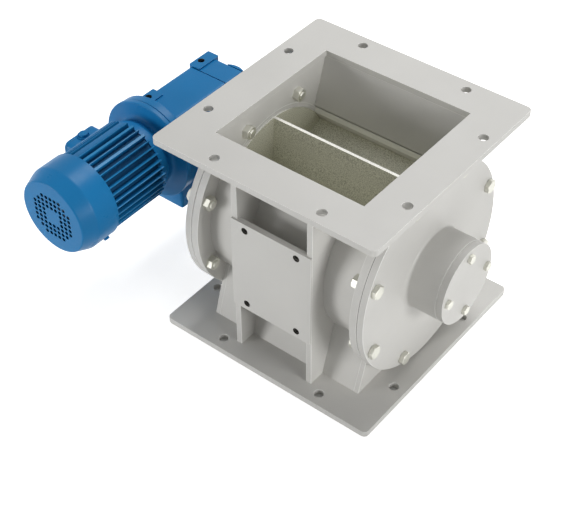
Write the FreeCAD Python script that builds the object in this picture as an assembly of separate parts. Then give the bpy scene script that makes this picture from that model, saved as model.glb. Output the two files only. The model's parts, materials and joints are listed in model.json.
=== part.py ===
import FreeCAD, Part
import math
import os

# Rotary airlock valve with a square inlet above, a square outlet below and a worm geared
# motor on one end of its rotor shaft. Millimetres. The rotor axis runs along X, the front
# with the mounting panel faces -Y, Z is up. The origin is the centre of the outlet face.

Vec = FreeCAD.Vector
ALONG_X = Vec(1, 0, 0)
ALONG_Y = Vec(0, 1, 0)
ALONG_Z = Vec(0, 0, 1)

# Running and fitted clearances
RUNNING_GAP = 0.3
FIT_GAP = 0.1

# Barrel and the end flanges welded to it
BORE_R = 128.3
BARREL_T = 6.7
BARREL_R = BORE_R + BARREL_T
JOINT_X = 147.0
END_FLANGE_T = 12.0
END_FLANGE_LAND = 28.5
END_FLANGE_R = BARREL_R + END_FLANGE_LAND
END_FLANGE_INNER_X = JOINT_X - END_FLANGE_T
COVER_BOLT_EDGE = 13.5
COVER_BOLT_R = END_FLANGE_R - COVER_BOLT_EDGE
COVER_BOLT_COUNT = 8
COVER_BOLT_FIRST_DEG = 22.5

# Whole height: the end flanges stand clear of the inlet and outlet flanges
FLANGE_T = 10.0
RIM_CLEARANCE = 4.5
AXIS_Z = FLANGE_T + RIM_CLEARANCE + END_FLANGE_R
FACE_TO_FACE = 2 * AXIS_Z

# Inlet and outlet flanges
FLANGE_SIDE = 375.0
FLANGE_CORNER_R = 8.0
FLANGE_ARRIS = 0.8
OPENING = 250.0
FLANGE_HOLE_R = 7.5
HOLE_LINE = 168.0
HOLE_PITCH_HALF = 90.0

# Plates of the inlet and outlet chutes
CHUTE_T = 8.0
SLOT_HALF = 100.0
CHUTE_SIDE_X = END_FLANGE_INNER_X - CHUTE_T

# Ribs and the mounting panel
RIB_T = 9.5
RIB_OUTER_X = 70.0
RIB_FRONT_Y = 160.5
PANEL_T = 3.5
PANEL_HEIGHT = 164.0
PANEL_CENTRE_Z = AXIS_Z - 1.0
BACKING_T = 5.5
PANEL_HOLE_SIDE_EDGE = 25.0
PANEL_HOLE_END_EDGE = 12.0
PANEL_HOLE_X = RIB_OUTER_X - PANEL_HOLE_SIDE_EDGE
PANEL_HOLE_Z = PANEL_HEIGHT / 2 - PANEL_HOLE_END_EDGE
PANEL_HOLE_R = 5.5

# End covers, each cast in one with a bearing housing
GASKET_T = 0.8
COVER_T = 10.5
COVER_FACE_X = JOINT_X + GASKET_T + COVER_T
SPIGOT_END_GAP = 0.5
HOUSING_R = 62.5
HOUSING_END_X = 206.8
HOUSING_FILLET = 8.0
CAP_T = 11.2
CAP_SPIGOT = 3.0
CAP_BOLT_R = 49.0

# Main bearings and shaft seals
BEARING_BORE_R = 20.0
BEARING_R = 40.0
BEARING_W = 18.0
BEARING_SHOULDER_R = 33.0
BALL_R = 5.9
BALL_COUNT = 9
RACE_GAP = 0.2
RING_T = 5.2
SEAL_R = 31.0
SEAL_W = 8.0
SEAL_DEPTH = 0.3
SHAFT_PASS_GAP = 1.0

# Rotor
ROTOR_R = BORE_R - RUNNING_GAP
DISC_INNER_X = 125.0
DISC_T = 8.0
DISC_OUTER_X = DISC_INNER_X + DISC_T
VANE_COUNT = 6
VANE_T = 5.0
VANE_FIRST_DEG = 88.5
HUB_R = 32.0
ROOT_OVERLAP = 1.0

# Screws: across flats, head height, shank radius, nut height
M12_FLATS = 19.0
M12_HEAD = 7.5
M12_R = 6.0
M12_NUT = 10.0
M12_END = 2.0
M12_HOLE_R = 6.75
M8_FLATS = 13.0
M8_HEAD = 5.5
M8_R = 4.0
M8_HOLE_R = 4.5
M8_IN_THREAD = 14.0
M5_FLATS = 8.0
M5_HEAD = 3.5
M5_R = 2.5
M5_IN_THREAD = 5.0

# Gear unit: worm and wheel
GEAR_MODULE = 1.5
WHEEL_TEETH = 40
WHEEL_PITCH_R = GEAR_MODULE * WHEEL_TEETH / 2
WORM_PITCH_R = 10.0
WHEEL_W = 14.0
WORM_LENGTH = 34.0
PRESSURE_DEG = 20.0
BACKLASH = 0.22
TIP_CLEARANCE = 0.3
TOOTH_HEAD = GEAR_MODULE
TOOTH_FOOT = GEAR_MODULE + TIP_CLEARANCE
THREAD_SUNK = 0.5

# Gear unit: neck and case, measured from the open bearing cap and from the two axes
NECK_LENGTH = 34.0
NECK_R = 40.0
NECK_FLANGE_T = 12.0
NECK_BORE_GAP = 1.5
VALVE_END_X = -(HOUSING_END_X + CAP_T)
CASE_X1 = VALVE_END_X - NECK_LENGTH
WHEEL_FROM_NECK = 48.0
WHEEL_X = CASE_X1 - WHEEL_FROM_NECK
WHEEL_FROM_SIDE = 26.0
CASE_X0 = WHEEL_X - WHEEL_FROM_SIDE
MOTOR_Z = AXIS_Z + WHEEL_PITCH_R + WORM_PITCH_R
CASE_FRONT = 70.0
CASE_BACK = 86.0
CASE_BELOW = 66.0
CASE_ABOVE = 68.0
CASE_Z0 = AXIS_Z - CASE_BELOW
CASE_Z1 = MOTOR_Z + CASE_ABOVE
CASE_WALL = 8.0
CASE_EDGE_R = 5.0
CASE_BAND = 42.0
CASE_GROOVE = 1.8
CASE_BOSS_R = 28.0
CASE_BOSS_BEYOND = 4.0
CASE_BOSS_FROM_VALVE = 16.0
PAD_RAISE = 2.5
PAD_SIDE_OVERHANG = 2.5
PAD_END_OVERHANG = 5.0
PAD_W = 21.5
PAD_NEAR_LENGTH = 34.0
PAD_THICK = 22.0
PAD_HOLE_R = 5.4
PAD_HOLE_INSET = 8.5
PAD_HOLE_PITCH = 120.0
PAD_HOLE_MIDDLE = 4.5
PAD_HOLE_DEPTH = 16.0
HOLLOW_R = 22.5
HOLLOW_BORE_R = 15.0
CASE_BEARING_R = 34.0
CASE_BEARING_W = 8.0
CASE_BEARING_RING = 3.4
SHAFT_END_GAP = 4.0
RETAINER_T = 2.0
RETAINER_HEAD = 1.2
RETAINER_LAP = 3.0
KEY_W = 8.0
KEY_H = 7.0
KEY_IN_SHAFT = 4.0
KEY_LENGTH = 36.0
SIDE_COVER_R = 42.0
SIDE_COVER_T = 5.0
PLUG_FLATS = 17.0
PLUG_HEAD = 6.0
PLUG_R = 6.0

# Gear unit: worm shaft
WORM_JOURNAL_R = 12.5
WORM_JOURNAL_PAST = 8.0
WORM_BEARING_R = 26.0
WORM_BEARING_W = 15.0
WORM_TAIL_R = 7.5
WORM_TAIL_BEARING_R = 17.5
WORM_TAIL_BEARING_W = 11.0
WORM_BEARING_RING = 3.6
WORM_CAP_R = 27.0
WORM_CAP_T = 4.0
SHAFT_TIP_GAP = 2.0
INPUT_FLANGE_R = 80.0
INPUT_FLANGE_T = 9.0
INPUT_FACE_Y = -CASE_FRONT - INPUT_FLANGE_T
INPUT_SEAT_Y = -CASE_FRONT + CASE_EDGE_R

# Motor, measured back from the face it shares with the gear case
MOTOR_FLANGE_R = 81.0
MOTOR_FLANGE_T = 8.5
MOTOR_BACK_Y = INPUT_FACE_Y - MOTOR_FLANGE_T
FLANGE_SCREW_INSET = 12.0
FLANGE_SCREW_TILT_DEG = 30.0
MOTOR_NECK_R = 46.0
MOTOR_NECK_ROOT_IN = 15.0
MOTOR_NECK_ROOT_R = MOTOR_FLANGE_R - MOTOR_NECK_ROOT_IN
MOTOR_NECK_STEPS = 10
MOTOR_NECK_LENGTH = 29.5
SHIELD_T = 12.0
FRAME_FRONT_Y = MOTOR_BACK_Y - MOTOR_NECK_LENGTH
FRAME_LENGTH = 112.0
FRAME_REAR_Y = FRAME_FRONT_Y - FRAME_LENGTH
FRAME_R = 57.5
FRAME_WALL = 4.5
SHIELD_STEP = 1.5
SHIELD_R = FRAME_R + SHIELD_STEP
FIN_HEIGHT = 8.0
FIN_R = FRAME_R + FIN_HEIGHT
FIN_T = 2.6
FIN_COUNT = 36
STOUT_FIN_T = 5.4
STOUT_FIN_DEG = (65.0, 85.0)
LAND_BELOW_FINS = 2.0
LAND_R = FIN_R - LAND_BELOW_FINS
LAND_FIRST_DEG = 98.0
LAND_SWEEP_DEG = 24.0
LAND_STEPS = 8
STATOR_INSET = 19.0
STATOR_LENGTH = 70.0
STATOR_FRONT_Y = FRAME_FRONT_Y - STATOR_INSET
STATOR_REAR_Y = STATOR_FRONT_Y - STATOR_LENGTH
STATOR_DEPTH = 17.0
STATOR_BORE_R = FRAME_R - FRAME_WALL - STATOR_DEPTH
WINDING_OVERHANG = 11.0
WINDING_INSET = 3.0
AIR_GAP = 0.4
MOTOR_SHAFT_R = 10.0
MOTOR_BEARING_R = 20.0
MOTOR_BEARING_W = 12.0
MOTOR_BEARING_RING = 3.2
MOTOR_STUB_R = 7.0
MOTOR_STUB_LENGTH = 28.0
REAR_SHIELD_T = 8.0
REAR_BOSS_WALL = 5.0
SHIELD_END_Y = FRAME_REAR_Y - REAR_SHIELD_T
REAR_SEAT_Y = FRAME_REAR_Y - REAR_SHIELD_T / 2

# Fan and fan cowl
COWL_WALL = 1.5
COWL_ROOM = 1.1
COWL_R = FIN_R + COWL_ROOM + COWL_WALL
COWL_LAP = 8.0
COWL_BEYOND_FRAME = 56.0
COWL_RIM_Y = FRAME_REAR_Y + COWL_LAP
COWL_END_Y = FRAME_REAR_Y - COWL_BEYOND_FRAME
COWL_SHOULDER_IN = 9.1
COWL_FACE_R = COWL_R - COWL_SHOULDER_IN
COWL_SHOULDER_LENGTH = 24.0
COWL_SHOULDER_FILLET = 10.0
COWL_FACE_FILLET = 5.0
GRILLE_COUNT = 9
GRILLE_CORNER = 6
GRILLE_BLANK = 1
GRILLE_PITCH = 8.3
GRILLE_HOLE_R = 3.2
COWL_SCREW_DEG = (165.0, 240.0, 315.0)
FAN_R = COWL_FACE_R - 2 * COWL_WALL
FAN_HUB_R = 16.0
FAN_PLATE_T = 2.5
FAN_BLADES = 7
FAN_BLADE_T = 2.5
FAN_GAP = 5.0
FAN_W = 20.0
FAN_Y1 = SHIELD_END_Y - FAN_GAP
FAN_Y0 = FAN_Y1 - FAN_W

# Terminal box on the side of the motor away from the valve
TERMINAL_RISE = 1.5
TERMINAL_DEPTH = 12.0
TERMINAL_LENGTH = 62.0
TERMINAL_HEIGHT = 68.0
TERMINAL_FROM_FRONT = 4.0
TERMINAL_WALL = 3.0
TERMINAL_CORNER_R = 9.0
TERMINAL_SEAT_INSET = 2.0
LID_T = 4.0
TERMINAL_SEAT_X = WHEEL_X - FRAME_R - TERMINAL_RISE
TERMINAL_X0 = TERMINAL_SEAT_X - TERMINAL_DEPTH
TERMINAL_Y1 = FRAME_FRONT_Y - TERMINAL_FROM_FRONT
TERMINAL_Y0 = TERMINAL_Y1 - TERMINAL_LENGTH
GLAND_R = 7.0
GLAND_TOP_R = 5.0
GLAND_HEIGHT = 6.0
GLAND_COLLAR_R = 8.0
GLAND_COLLAR_T = 2.5


def box(x0, x1, y0, y1, z0, z1):
    return Part.makeBox(x1 - x0, y1 - y0, z1 - z0, Vec(x0, y0, z0))


def rod_x(radius, x0, x1, y=0.0, z=AXIS_Z):
    return Part.makeCylinder(radius, abs(x1 - x0), Vec(min(x0, x1), y, z), ALONG_X)


def ring_x(outer, inner, x0, x1):
    return rod_x(outer, x0, x1).cut(rod_x(inner, x0, x1))


def rod_y(radius, y0, y1, x=WHEEL_X, z=MOTOR_Z):
    return Part.makeCylinder(radius, abs(y1 - y0), Vec(x, min(y0, y1), z), ALONG_Y)


def ring_y(outer, inner, y0, y1):
    return rod_y(outer, y0, y1).cut(rod_y(inner, y0, y1))


def rod_z(radius, z0, z1, x, y):
    return Part.makeCylinder(radius, z1 - z0, Vec(x, y, z0), ALONG_Z)


def prism_x(points_yz, x0, x1):
    """A solid with the given outline in the YZ plane, from x0 to x1."""
    corners = [Vec(x0, y, z) for y, z in points_yz]
    face = Part.Face(Part.makePolygon(corners + corners[:1]))
    return face.extrude(Vec(x1 - x0, 0, 0))


def revolve_x(points_xr):
    """A turned solid about the rotor axis, from an outline of (x, radius) points."""
    corners = [Vec(x, r, AXIS_Z) for x, r in points_xr]
    face = Part.Face(Part.makePolygon(corners + corners[:1]))
    return face.revolve(Vec(0, 0, AXIS_Z), ALONG_X, 360)


def revolve_y(points_yr):
    """A turned solid about the motor axis, from an outline of (y, radius) points."""
    corners = [Vec(WHEEL_X + r, y, MOTOR_Z) for y, r in points_yr]
    face = Part.Face(Part.makePolygon(corners + corners[:1]))
    return face.revolve(Vec(WHEEL_X, 0, MOTOR_Z), ALONG_Y, 360)


def mirror_x(shape):
    return shape.mirror(Vec(0, 0, 0), ALONG_X)


def fused(shapes):
    return shapes[0].multiFuse(shapes[1:]).removeSplitter()


def polar_x(radius, degrees):
    """The y and z of a point at that radius and angle about the rotor axis."""
    angle = math.radians(degrees)
    return radius * math.cos(angle), AXIS_Z + radius * math.sin(angle)


def polar_y(radius, degrees):
    """The x and z of a point at that radius and angle about the motor axis."""
    angle = math.radians(degrees)
    return WHEEL_X + radius * math.cos(angle), MOTOR_Z + radius * math.sin(angle)


def hexagon(flats, height):
    """A hexagon bar on the origin along +Z, with its far corners chamfered as on a bolt head."""
    corner_r = flats / math.sqrt(3)
    corners = [Vec(corner_r * math.cos(math.radians(60 * k)), corner_r * math.sin(math.radians(60 * k)), 0)
               for k in range(7)]
    bar = Part.Face(Part.makePolygon(corners)).extrude(Vec(0, 0, height))
    drop = (corner_r - flats / 2) * math.tan(math.radians(30))
    cone_r = flats / 2 + (height + drop) / math.tan(math.radians(30))
    cone = Part.makeCone(cone_r, flats / 2, height + drop, Vec(0, 0, -drop), ALONG_Z)
    return bar.common(cone)


def screw(flats, head, radius, length):
    """A hexagon screw on the origin: the head stands along +Z, the shank goes down along -Z."""
    shank = Part.makeCylinder(radius, length, Vec(0, 0, -length), ALONG_Z)
    return hexagon(flats, head).fuse(shank)


def placed(shape, point, direction):
    """The shape moved so that its origin is at the point and its +Z looks along the direction."""
    copy = shape.copy()
    copy.Placement = FreeCAD.Placement(Vec(*point), FreeCAD.Rotation(ALONG_Z, Vec(*direction)))
    return copy


# Welded body

def chute_outer_half(z):
    """Half the width of a chute over its sloping plates, at a height above the rotor axis."""
    foot_z = AXIS_Z + math.sqrt(BARREL_R ** 2 - SLOT_HALF ** 2)
    top_z = FACE_TO_FACE - FLANGE_T
    slope = (OPENING / 2 - SLOT_HALF) / (top_z - foot_z)
    plate = CHUTE_T * math.sqrt(1 + slope ** 2)
    return OPENING / 2 + plate - slope * (top_z - z)


def chute_inner_half(z):
    return chute_outer_half(z) - (chute_outer_half(FACE_TO_FACE - FLANGE_T) - OPENING / 2)


def below(shape):
    """The inlet side's shape turned over for the outlet side."""
    return shape.mirror(Vec(0, 0, AXIS_Z), ALONG_Z)


def inlet_flange():
    half = FLANGE_SIDE / 2
    z0 = FACE_TO_FACE - FLANGE_T
    plate = box(-half, half, -half, half, z0, FACE_TO_FACE)
    upright = [e for e in plate.Edges if abs(e.Vertexes[0].Z - e.Vertexes[1].Z) > 1]
    plate = plate.makeFillet(FLANGE_CORNER_R, upright)
    rim = [e for e in plate.Edges if abs(e.BoundBox.ZLength) < 1e-6]
    plate = plate.makeChamfer(FLANGE_ARRIS, rim)
    opening = OPENING / 2
    plate = plate.cut(box(-opening, opening, -opening, opening, z0, FACE_TO_FACE))
    for x, y in flange_hole_places():
        plate = plate.cut(rod_z(FLANGE_HOLE_R, z0, FACE_TO_FACE, x, y))
    return plate


def flange_hole_places():
    places = []
    for side in (-1, 1):
        for along in (-1, 1):
            places.append((along * HOLE_PITCH_HALF, side * HOLE_LINE))
            places.append((side * HOLE_LINE, along * HOLE_PITCH_HALF))
    return places


def barrel():
    shell = ring_x(BARREL_R, BORE_R, -END_FLANGE_INNER_X, END_FLANGE_INNER_X)
    slot = box(-CHUTE_SIDE_X, CHUTE_SIDE_X, -SLOT_HALF, SLOT_HALF, 0, FACE_TO_FACE)
    return shell.cut(slot)


def cover_bolt_places():
    step = 360 / COVER_BOLT_COUNT
    return [polar_x(COVER_BOLT_R, COVER_BOLT_FIRST_DEG + step * k) for k in range(COVER_BOLT_COUNT)]


def end_flange():
    """The end flange at the +X end."""
    ring = ring_x(END_FLANGE_R, BORE_R, END_FLANGE_INNER_X, JOINT_X)
    for y, z in cover_bolt_places():
        ring = ring.cut(rod_x(M12_HOLE_R, END_FLANGE_INNER_X, JOINT_X, y, z))
    return ring


def inlet_side_plates():
    top = FACE_TO_FACE - FLANGE_T
    outline = [(-chute_outer_half(top), top), (chute_outer_half(top), top),
               (chute_outer_half(AXIS_Z), AXIS_Z), (-chute_outer_half(AXIS_Z), AXIS_Z)]
    plate = prism_x(outline, CHUTE_SIDE_X, END_FLANGE_INNER_X)
    plate = plate.cut(rod_x(BARREL_R, CHUTE_SIDE_X, END_FLANGE_INNER_X))
    for y, z in cover_bolt_places():
        plate = plate.cut(rod_x(M12_HOLE_R, CHUTE_SIDE_X, END_FLANGE_INNER_X, y, z))
    return [plate, mirror_x(plate)]


def inlet_slope_plates():
    top = FACE_TO_FACE - FLANGE_T
    outline = [(chute_inner_half(top), top), (chute_outer_half(top), top),
               (chute_outer_half(AXIS_Z), AXIS_Z), (chute_inner_half(AXIS_Z), AXIS_Z)]
    plate = prism_x(outline, -CHUTE_SIDE_X, CHUTE_SIDE_X)
    plate = plate.cut(rod_x(BARREL_R, -CHUTE_SIDE_X, CHUTE_SIDE_X))
    return [plate, plate.mirror(Vec(0, 0, 0), ALONG_Y)]


def rib_pair(front):
    """The two ribs of one side, from flange to flange and cut to the barrel and the chutes."""
    side = -1 if front else 1
    top = FACE_TO_FACE - FLANGE_T
    upper = [(0, top), (side * chute_outer_half(top), top), (side * chute_outer_half(AXIS_Z), AXIS_Z),
             (0, AXIS_Z)]
    ribs = []
    for x0 in (-RIB_OUTER_X, RIB_OUTER_X - RIB_T):
        x1 = x0 + RIB_T
        rib = box(x0, x1, min(0, side * RIB_FRONT_Y), max(0, side * RIB_FRONT_Y), FLANGE_T, top)
        chute = prism_x(upper, x0, x1)
        rib = rib.cut(rod_x(BARREL_R, x0, x1)).cut(chute).cut(below(chute))
        ribs.append(rib)
    return ribs


def panel_hole_places():
    return [(sx * PANEL_HOLE_X, PANEL_CENTRE_Z + sz * PANEL_HOLE_Z) for sx in (-1, 1) for sz in (-1, 1)]


def drilled_panel(half_width, y0, y1):
    z0 = PANEL_CENTRE_Z - PANEL_HEIGHT / 2
    plate = box(-half_width, half_width, y0, y1, z0, z0 + PANEL_HEIGHT)
    for x, z in panel_hole_places():
        plate = plate.cut(Part.makeCylinder(PANEL_HOLE_R, y1 - y0, Vec(x, y0, z), ALONG_Y))
    return plate


def front_panel():
    return drilled_panel(RIB_OUTER_X, -RIB_FRONT_Y - PANEL_T, -RIB_FRONT_Y)


def panel_backing():
    return drilled_panel(RIB_OUTER_X - RIB_T, -RIB_FRONT_Y, -RIB_FRONT_Y + BACKING_T)


# End covers and their screws

def gasket():
    ring = ring_x(END_FLANGE_R, BORE_R, JOINT_X, JOINT_X + GASKET_T)
    for y, z in cover_bolt_places():
        ring = ring.cut(rod_x(M12_HOLE_R, JOINT_X, JOINT_X + GASKET_T, y, z))
    return ring


def cap_bolt_places():
    return [polar_x(CAP_BOLT_R, 90 * k) for k in range(4)]


def bearing_x0():
    """Where the main bearing starts: it ends at the cap's spigot."""
    return HOUSING_END_X - CAP_SPIGOT - BEARING_W


def end_cover():
    """The cover at the +X end: a flanged plate, a spigot in the bore and a bearing housing."""
    spigot_x = DISC_OUTER_X + SPIGOT_END_GAP
    spigot_r = BORE_R - FIT_GAP
    plate_x = JOINT_X + GASKET_T
    shaft_r = BEARING_BORE_R + SHAFT_PASS_GAP
    seal_x = plate_x + SEAL_DEPTH
    shoulder_x = bearing_x0()
    outline = [(spigot_x, shaft_r), (spigot_x, spigot_r), (plate_x, spigot_r), (plate_x, END_FLANGE_R),
               (COVER_FACE_X, END_FLANGE_R), (COVER_FACE_X, HOUSING_R), (HOUSING_END_X, HOUSING_R),
               (HOUSING_END_X, BEARING_R), (shoulder_x, BEARING_R), (shoulder_x, BEARING_SHOULDER_R),
               (seal_x + SEAL_W, BEARING_SHOULDER_R), (seal_x + SEAL_W, SEAL_R), (seal_x, SEAL_R),
               (seal_x, shaft_r)]
    cover = revolve_x(outline)
    root = [e for e in cover.Edges if circle_at(e, COVER_FACE_X, HOUSING_R)]
    cover = cover.makeFillet(HOUSING_FILLET, root)
    for y, z in cover_bolt_places():
        cover = cover.cut(rod_x(M12_HOLE_R, plate_x, COVER_FACE_X, y, z))
    for y, z in cap_bolt_places():
        cover = cover.cut(rod_x(M8_R, HOUSING_END_X - M8_IN_THREAD, HOUSING_END_X, y, z))
    return cover


def circle_at(edge, x, radius):
    """True for the circular edge of that radius about the rotor axis in the plane at x."""
    bounds = edge.BoundBox
    return bounds.XLength < 1e-6 and abs(bounds.XMin - x) < 1e-6 and abs(bounds.YMax - radius) < 1e-3


def end_cap():
    """The closed cap of the +X bearing housing."""
    face_x = HOUSING_END_X + CAP_T
    cap = fused([rod_x(HOUSING_R, HOUSING_END_X, face_x),
                 rod_x(BEARING_R - FIT_GAP, HOUSING_END_X - CAP_SPIGOT, HOUSING_END_X)])
    cap = cap.cut(rod_x(BEARING_SHOULDER_R, HOUSING_END_X - CAP_SPIGOT, HOUSING_END_X))
    for y, z in cap_bolt_places():
        cap = cap.cut(rod_x(M8_HOLE_R, HOUSING_END_X, face_x, y, z))
    return cap


def drive_cap():
    """The cap of the -X bearing housing, open for the drive shaft."""
    pass_r = BEARING_BORE_R + SHAFT_PASS_GAP
    open_cap = end_cap().cut(rod_x(pass_r, HOUSING_END_X - CAP_SPIGOT, HOUSING_END_X + CAP_T))
    return mirror_x(open_cap)


def through_chute(z):
    """True where a cover bolt also goes through the side plate of a chute."""
    return abs(z - AXIS_Z) > COVER_BOLT_R / 2


def nut_face_x(z):
    return CHUTE_SIDE_X if through_chute(z) else END_FLANGE_INNER_X


def cover_bolts():
    bolts = []
    for y, z in cover_bolt_places():
        length = COVER_FACE_X - nut_face_x(z) + M12_NUT + M12_END
        bolt = placed(screw(M12_FLATS, M12_HEAD, M12_R, length), (COVER_FACE_X, y, z), (1, 0, 0))
        bolts += [bolt, mirror_x(bolt)]
    return bolts


def cover_nuts():
    nuts = []
    blank = hexagon(M12_FLATS, M12_NUT)
    blank = blank.cut(Part.makeCylinder(M12_R, M12_NUT, Vec(0, 0, 0), ALONG_Z))
    for y, z in cover_bolt_places():
        nut = placed(blank, (nut_face_x(z), y, z), (-1, 0, 0))
        nuts += [nut, mirror_x(nut)]
    return nuts


def cap_bolts():
    face_x = HOUSING_END_X + CAP_T
    blank = screw(M8_FLATS, M8_HEAD, M8_R, CAP_T + M8_IN_THREAD)
    return [placed(blank, (face_x, y, z), (1, 0, 0)) for y, z in cap_bolt_places()]


def neck_bolts():
    """The screws that hold the gear unit's flange and the open cap to the bearing housing."""
    face_x = -(HOUSING_END_X + CAP_T + NECK_FLANGE_T)
    blank = screw(M8_FLATS, M8_HEAD, M8_R, CAP_T + NECK_FLANGE_T + M8_IN_THREAD)
    return [placed(blank, (face_x, y, z), (-1, 0, 0)) for y, z in cap_bolt_places()]


# Bearings and seals

def ball_bearing(axis, start, width, bore_r, outer_r, ring, ball_r, balls):
    """The outer ring, the inner ring and the balls of a deep groove bearing."""
    pitch_r = (bore_r + outer_r) / 2
    if axis == "x":
        outer = ring_x(outer_r, outer_r - ring, start, start + width)
        inner = ring_x(bore_r + ring, bore_r, start, start + width)
        centre = Vec(start + width / 2, 0, AXIS_Z)
        along = ALONG_X
    else:
        outer = ring_y(outer_r, outer_r - ring, start, start + width)
        inner = ring_y(bore_r + ring, bore_r, start, start + width)
        centre = Vec(WHEEL_X, start + width / 2, MOTOR_Z)
        along = ALONG_Y
    groove = Part.makeTorus(pitch_r, ball_r + RACE_GAP, centre, along)
    first = Part.makeSphere(ball_r, centre + Vec(0, 0, pitch_r))
    row = []
    for k in range(balls):
        ball = first.copy()
        ball.rotate(centre, along, 360 * k / balls)
        row.append(ball)
    return outer.cut(groove), inner.cut(groove), row


def main_bearing():
    return ball_bearing("x", bearing_x0(), BEARING_W, BEARING_BORE_R, BEARING_R, RING_T, BALL_R, BALL_COUNT)


def plain_rings(axis, start, width, bore_r, outer_r, ring):
    """The outer and the inner ring of a small bearing, with a plain gap between them."""
    make = ring_x if axis == "x" else ring_y
    outer = make(outer_r, outer_r - ring, start, start + width)
    inner = make(bore_r + ring, bore_r, start, start + width)
    return outer, inner


def shaft_seal():
    x0 = JOINT_X + GASKET_T + SEAL_DEPTH
    return ring_x(SEAL_R, BEARING_BORE_R + RUNNING_GAP, x0, x0 + SEAL_W)


# Rotor

def rotor_disc():
    return ring_x(ROTOR_R, HUB_R, DISC_INNER_X, DISC_OUTER_X)


def rotor_vanes():
    blade = box(-DISC_INNER_X, DISC_INNER_X, 0, ROTOR_R, AXIS_Z - VANE_T / 2, AXIS_Z + VANE_T / 2)
    blade = blade.common(ring_x(ROTOR_R, HUB_R, -DISC_INNER_X, DISC_INNER_X))
    vanes = []
    for k in range(VANE_COUNT):
        vane = blade.copy()
        vane.rotate(Vec(0, 0, AXIS_Z), ALONG_X, VANE_FIRST_DEG + 360 * k / VANE_COUNT)
        vanes.append(vane)
    return vanes


def shaft_end_x():
    return CASE_X0 + SHAFT_END_GAP


def key_room():
    x0 = WHEEL_X - WHEEL_W
    bottom = AXIS_Z + HOLLOW_BORE_R - KEY_IN_SHAFT
    return box(x0, x0 + KEY_LENGTH, -KEY_W / 2, KEY_W / 2, bottom, bottom + KEY_H)


def rotor_shaft():
    journal_end = HOUSING_END_X - CAP_SPIGOT
    shaft = fused([rod_x(HUB_R, -DISC_OUTER_X, DISC_OUTER_X),
                   rod_x(BEARING_BORE_R, -HOUSING_END_X, journal_end),
                   rod_x(HOLLOW_BORE_R, shaft_end_x(), -HOUSING_END_X)])
    return shaft.cut(key_room())


def hollow_shaft():
    tube = ring_x(HOLLOW_R, HOLLOW_BORE_R, shaft_end_x(), CASE_X1 + SHAFT_TIP_GAP)
    return tube.cut(key_room())


def wheel_outline(degrees):
    """The toothed outline of the worm wheel, turned by some degrees about the rotor axis."""
    half_pitch = math.pi * GEAR_MODULE / 4 - BACKLASH / 2
    lean = math.tan(math.radians(PRESSURE_DEG))
    profile = ((-TOOTH_FOOT, half_pitch + TOOTH_FOOT * lean), (0, half_pitch),
               (TOOTH_HEAD, half_pitch - TOOTH_HEAD * lean))
    sides = [(rise, -half) for rise, half in profile] + [(rise, half) for rise, half in reversed(profile)]
    points = []
    for k in range(WHEEL_TEETH):
        middle = math.radians(degrees + 90 + 360 * k / WHEEL_TEETH)
        for rise, half in sides:
            radius = WHEEL_PITCH_R + rise
            angle = middle + half / radius
            points.append((radius * math.cos(angle), AXIS_Z + radius * math.sin(angle)))
    return points


def worm_wheel():
    """The wheel's teeth lean by the lead angle of the worm, so they are lofted across its width."""
    lead_angle = GEAR_MODULE / (2 * WORM_PITCH_R)
    twist = math.degrees(lead_angle * WHEEL_W / 2 / WHEEL_PITCH_R)
    wires = []
    for side in (-1, 1):
        x = WHEEL_X + side * WHEEL_W / 2
        corners = [Vec(x, y, z) for y, z in wheel_outline(side * twist)]
        wires.append(Part.makePolygon(corners + corners[:1]))
    wheel = Part.makeLoft(wires, True, True)
    return wheel.cut(rod_x(HOLLOW_R, WHEEL_X - WHEEL_W, WHEEL_X + WHEEL_W))


def shaft_retainer():
    """The end plate and screw that hold the rotor shaft in the hollow shaft."""
    x = shaft_end_x()
    plate = rod_x(HOLLOW_BORE_R + RETAINER_LAP, x - RETAINER_T, x)
    head = placed(hexagon(M8_FLATS, RETAINER_HEAD), (x - RETAINER_T, 0, AXIS_Z), (-1, 0, 0))
    return plate.fuse(head)


# Gear unit

def case_solid():
    case = box(CASE_X0, CASE_X1, -CASE_FRONT, CASE_BACK, CASE_Z0, CASE_Z1)
    case = case.makeFillet(CASE_EDGE_R, case.Edges)
    groove_y = CASE_BACK - CASE_BAND
    groove = box(CASE_X0, CASE_X1, groove_y, groove_y + CASE_GROOVE, CASE_Z1 - CASE_GROOVE, CASE_Z1)
    flange = rod_y(INPUT_FLANGE_R, INPUT_FACE_Y, INPUT_SEAT_Y)
    return fused([case.cut(groove), flange, case_boss()] + case_pads())


def case_boss():
    """A round boss flush with the top, which bulges past the end face on the valve's side."""
    y = CASE_BACK + CASE_BOSS_BEYOND - CASE_BOSS_R
    boss = rod_z(CASE_BOSS_R, CASE_Z1 - PAD_THICK, CASE_Z1, CASE_X1 - CASE_BOSS_FROM_VALVE, y)
    band_y = CASE_BACK - CASE_BAND + CASE_GROOVE
    room = box(CASE_X0, CASE_X1, band_y, CASE_BACK + CASE_BOSS_BEYOND, CASE_Z1 - PAD_THICK, CASE_Z1)
    return boss.common(room)


def case_pads():
    """Two raised corner pads on the outer side of the top, each with a tapped hole."""
    x = CASE_X0 - PAD_SIDE_OVERHANG
    z0 = CASE_Z1 - PAD_THICK
    z1 = CASE_Z1 + PAD_RAISE
    return [box(x, x + PAD_W, CASE_BACK - CASE_BAND, CASE_BACK + PAD_END_OVERHANG, z0, z1),
            box(x, x + PAD_W, -CASE_FRONT, PAD_NEAR_LENGTH - CASE_FRONT, z0, z1)]


def pad_hole_places():
    x = CASE_X0 - PAD_SIDE_OVERHANG + PAD_HOLE_INSET
    return [(x, PAD_HOLE_MIDDLE - PAD_HOLE_PITCH / 2), (x, PAD_HOLE_MIDDLE + PAD_HOLE_PITCH / 2)]


def tail_bearing_y():
    return CASE_BACK - CASE_WALL - WORM_TAIL_BEARING_W


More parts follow.
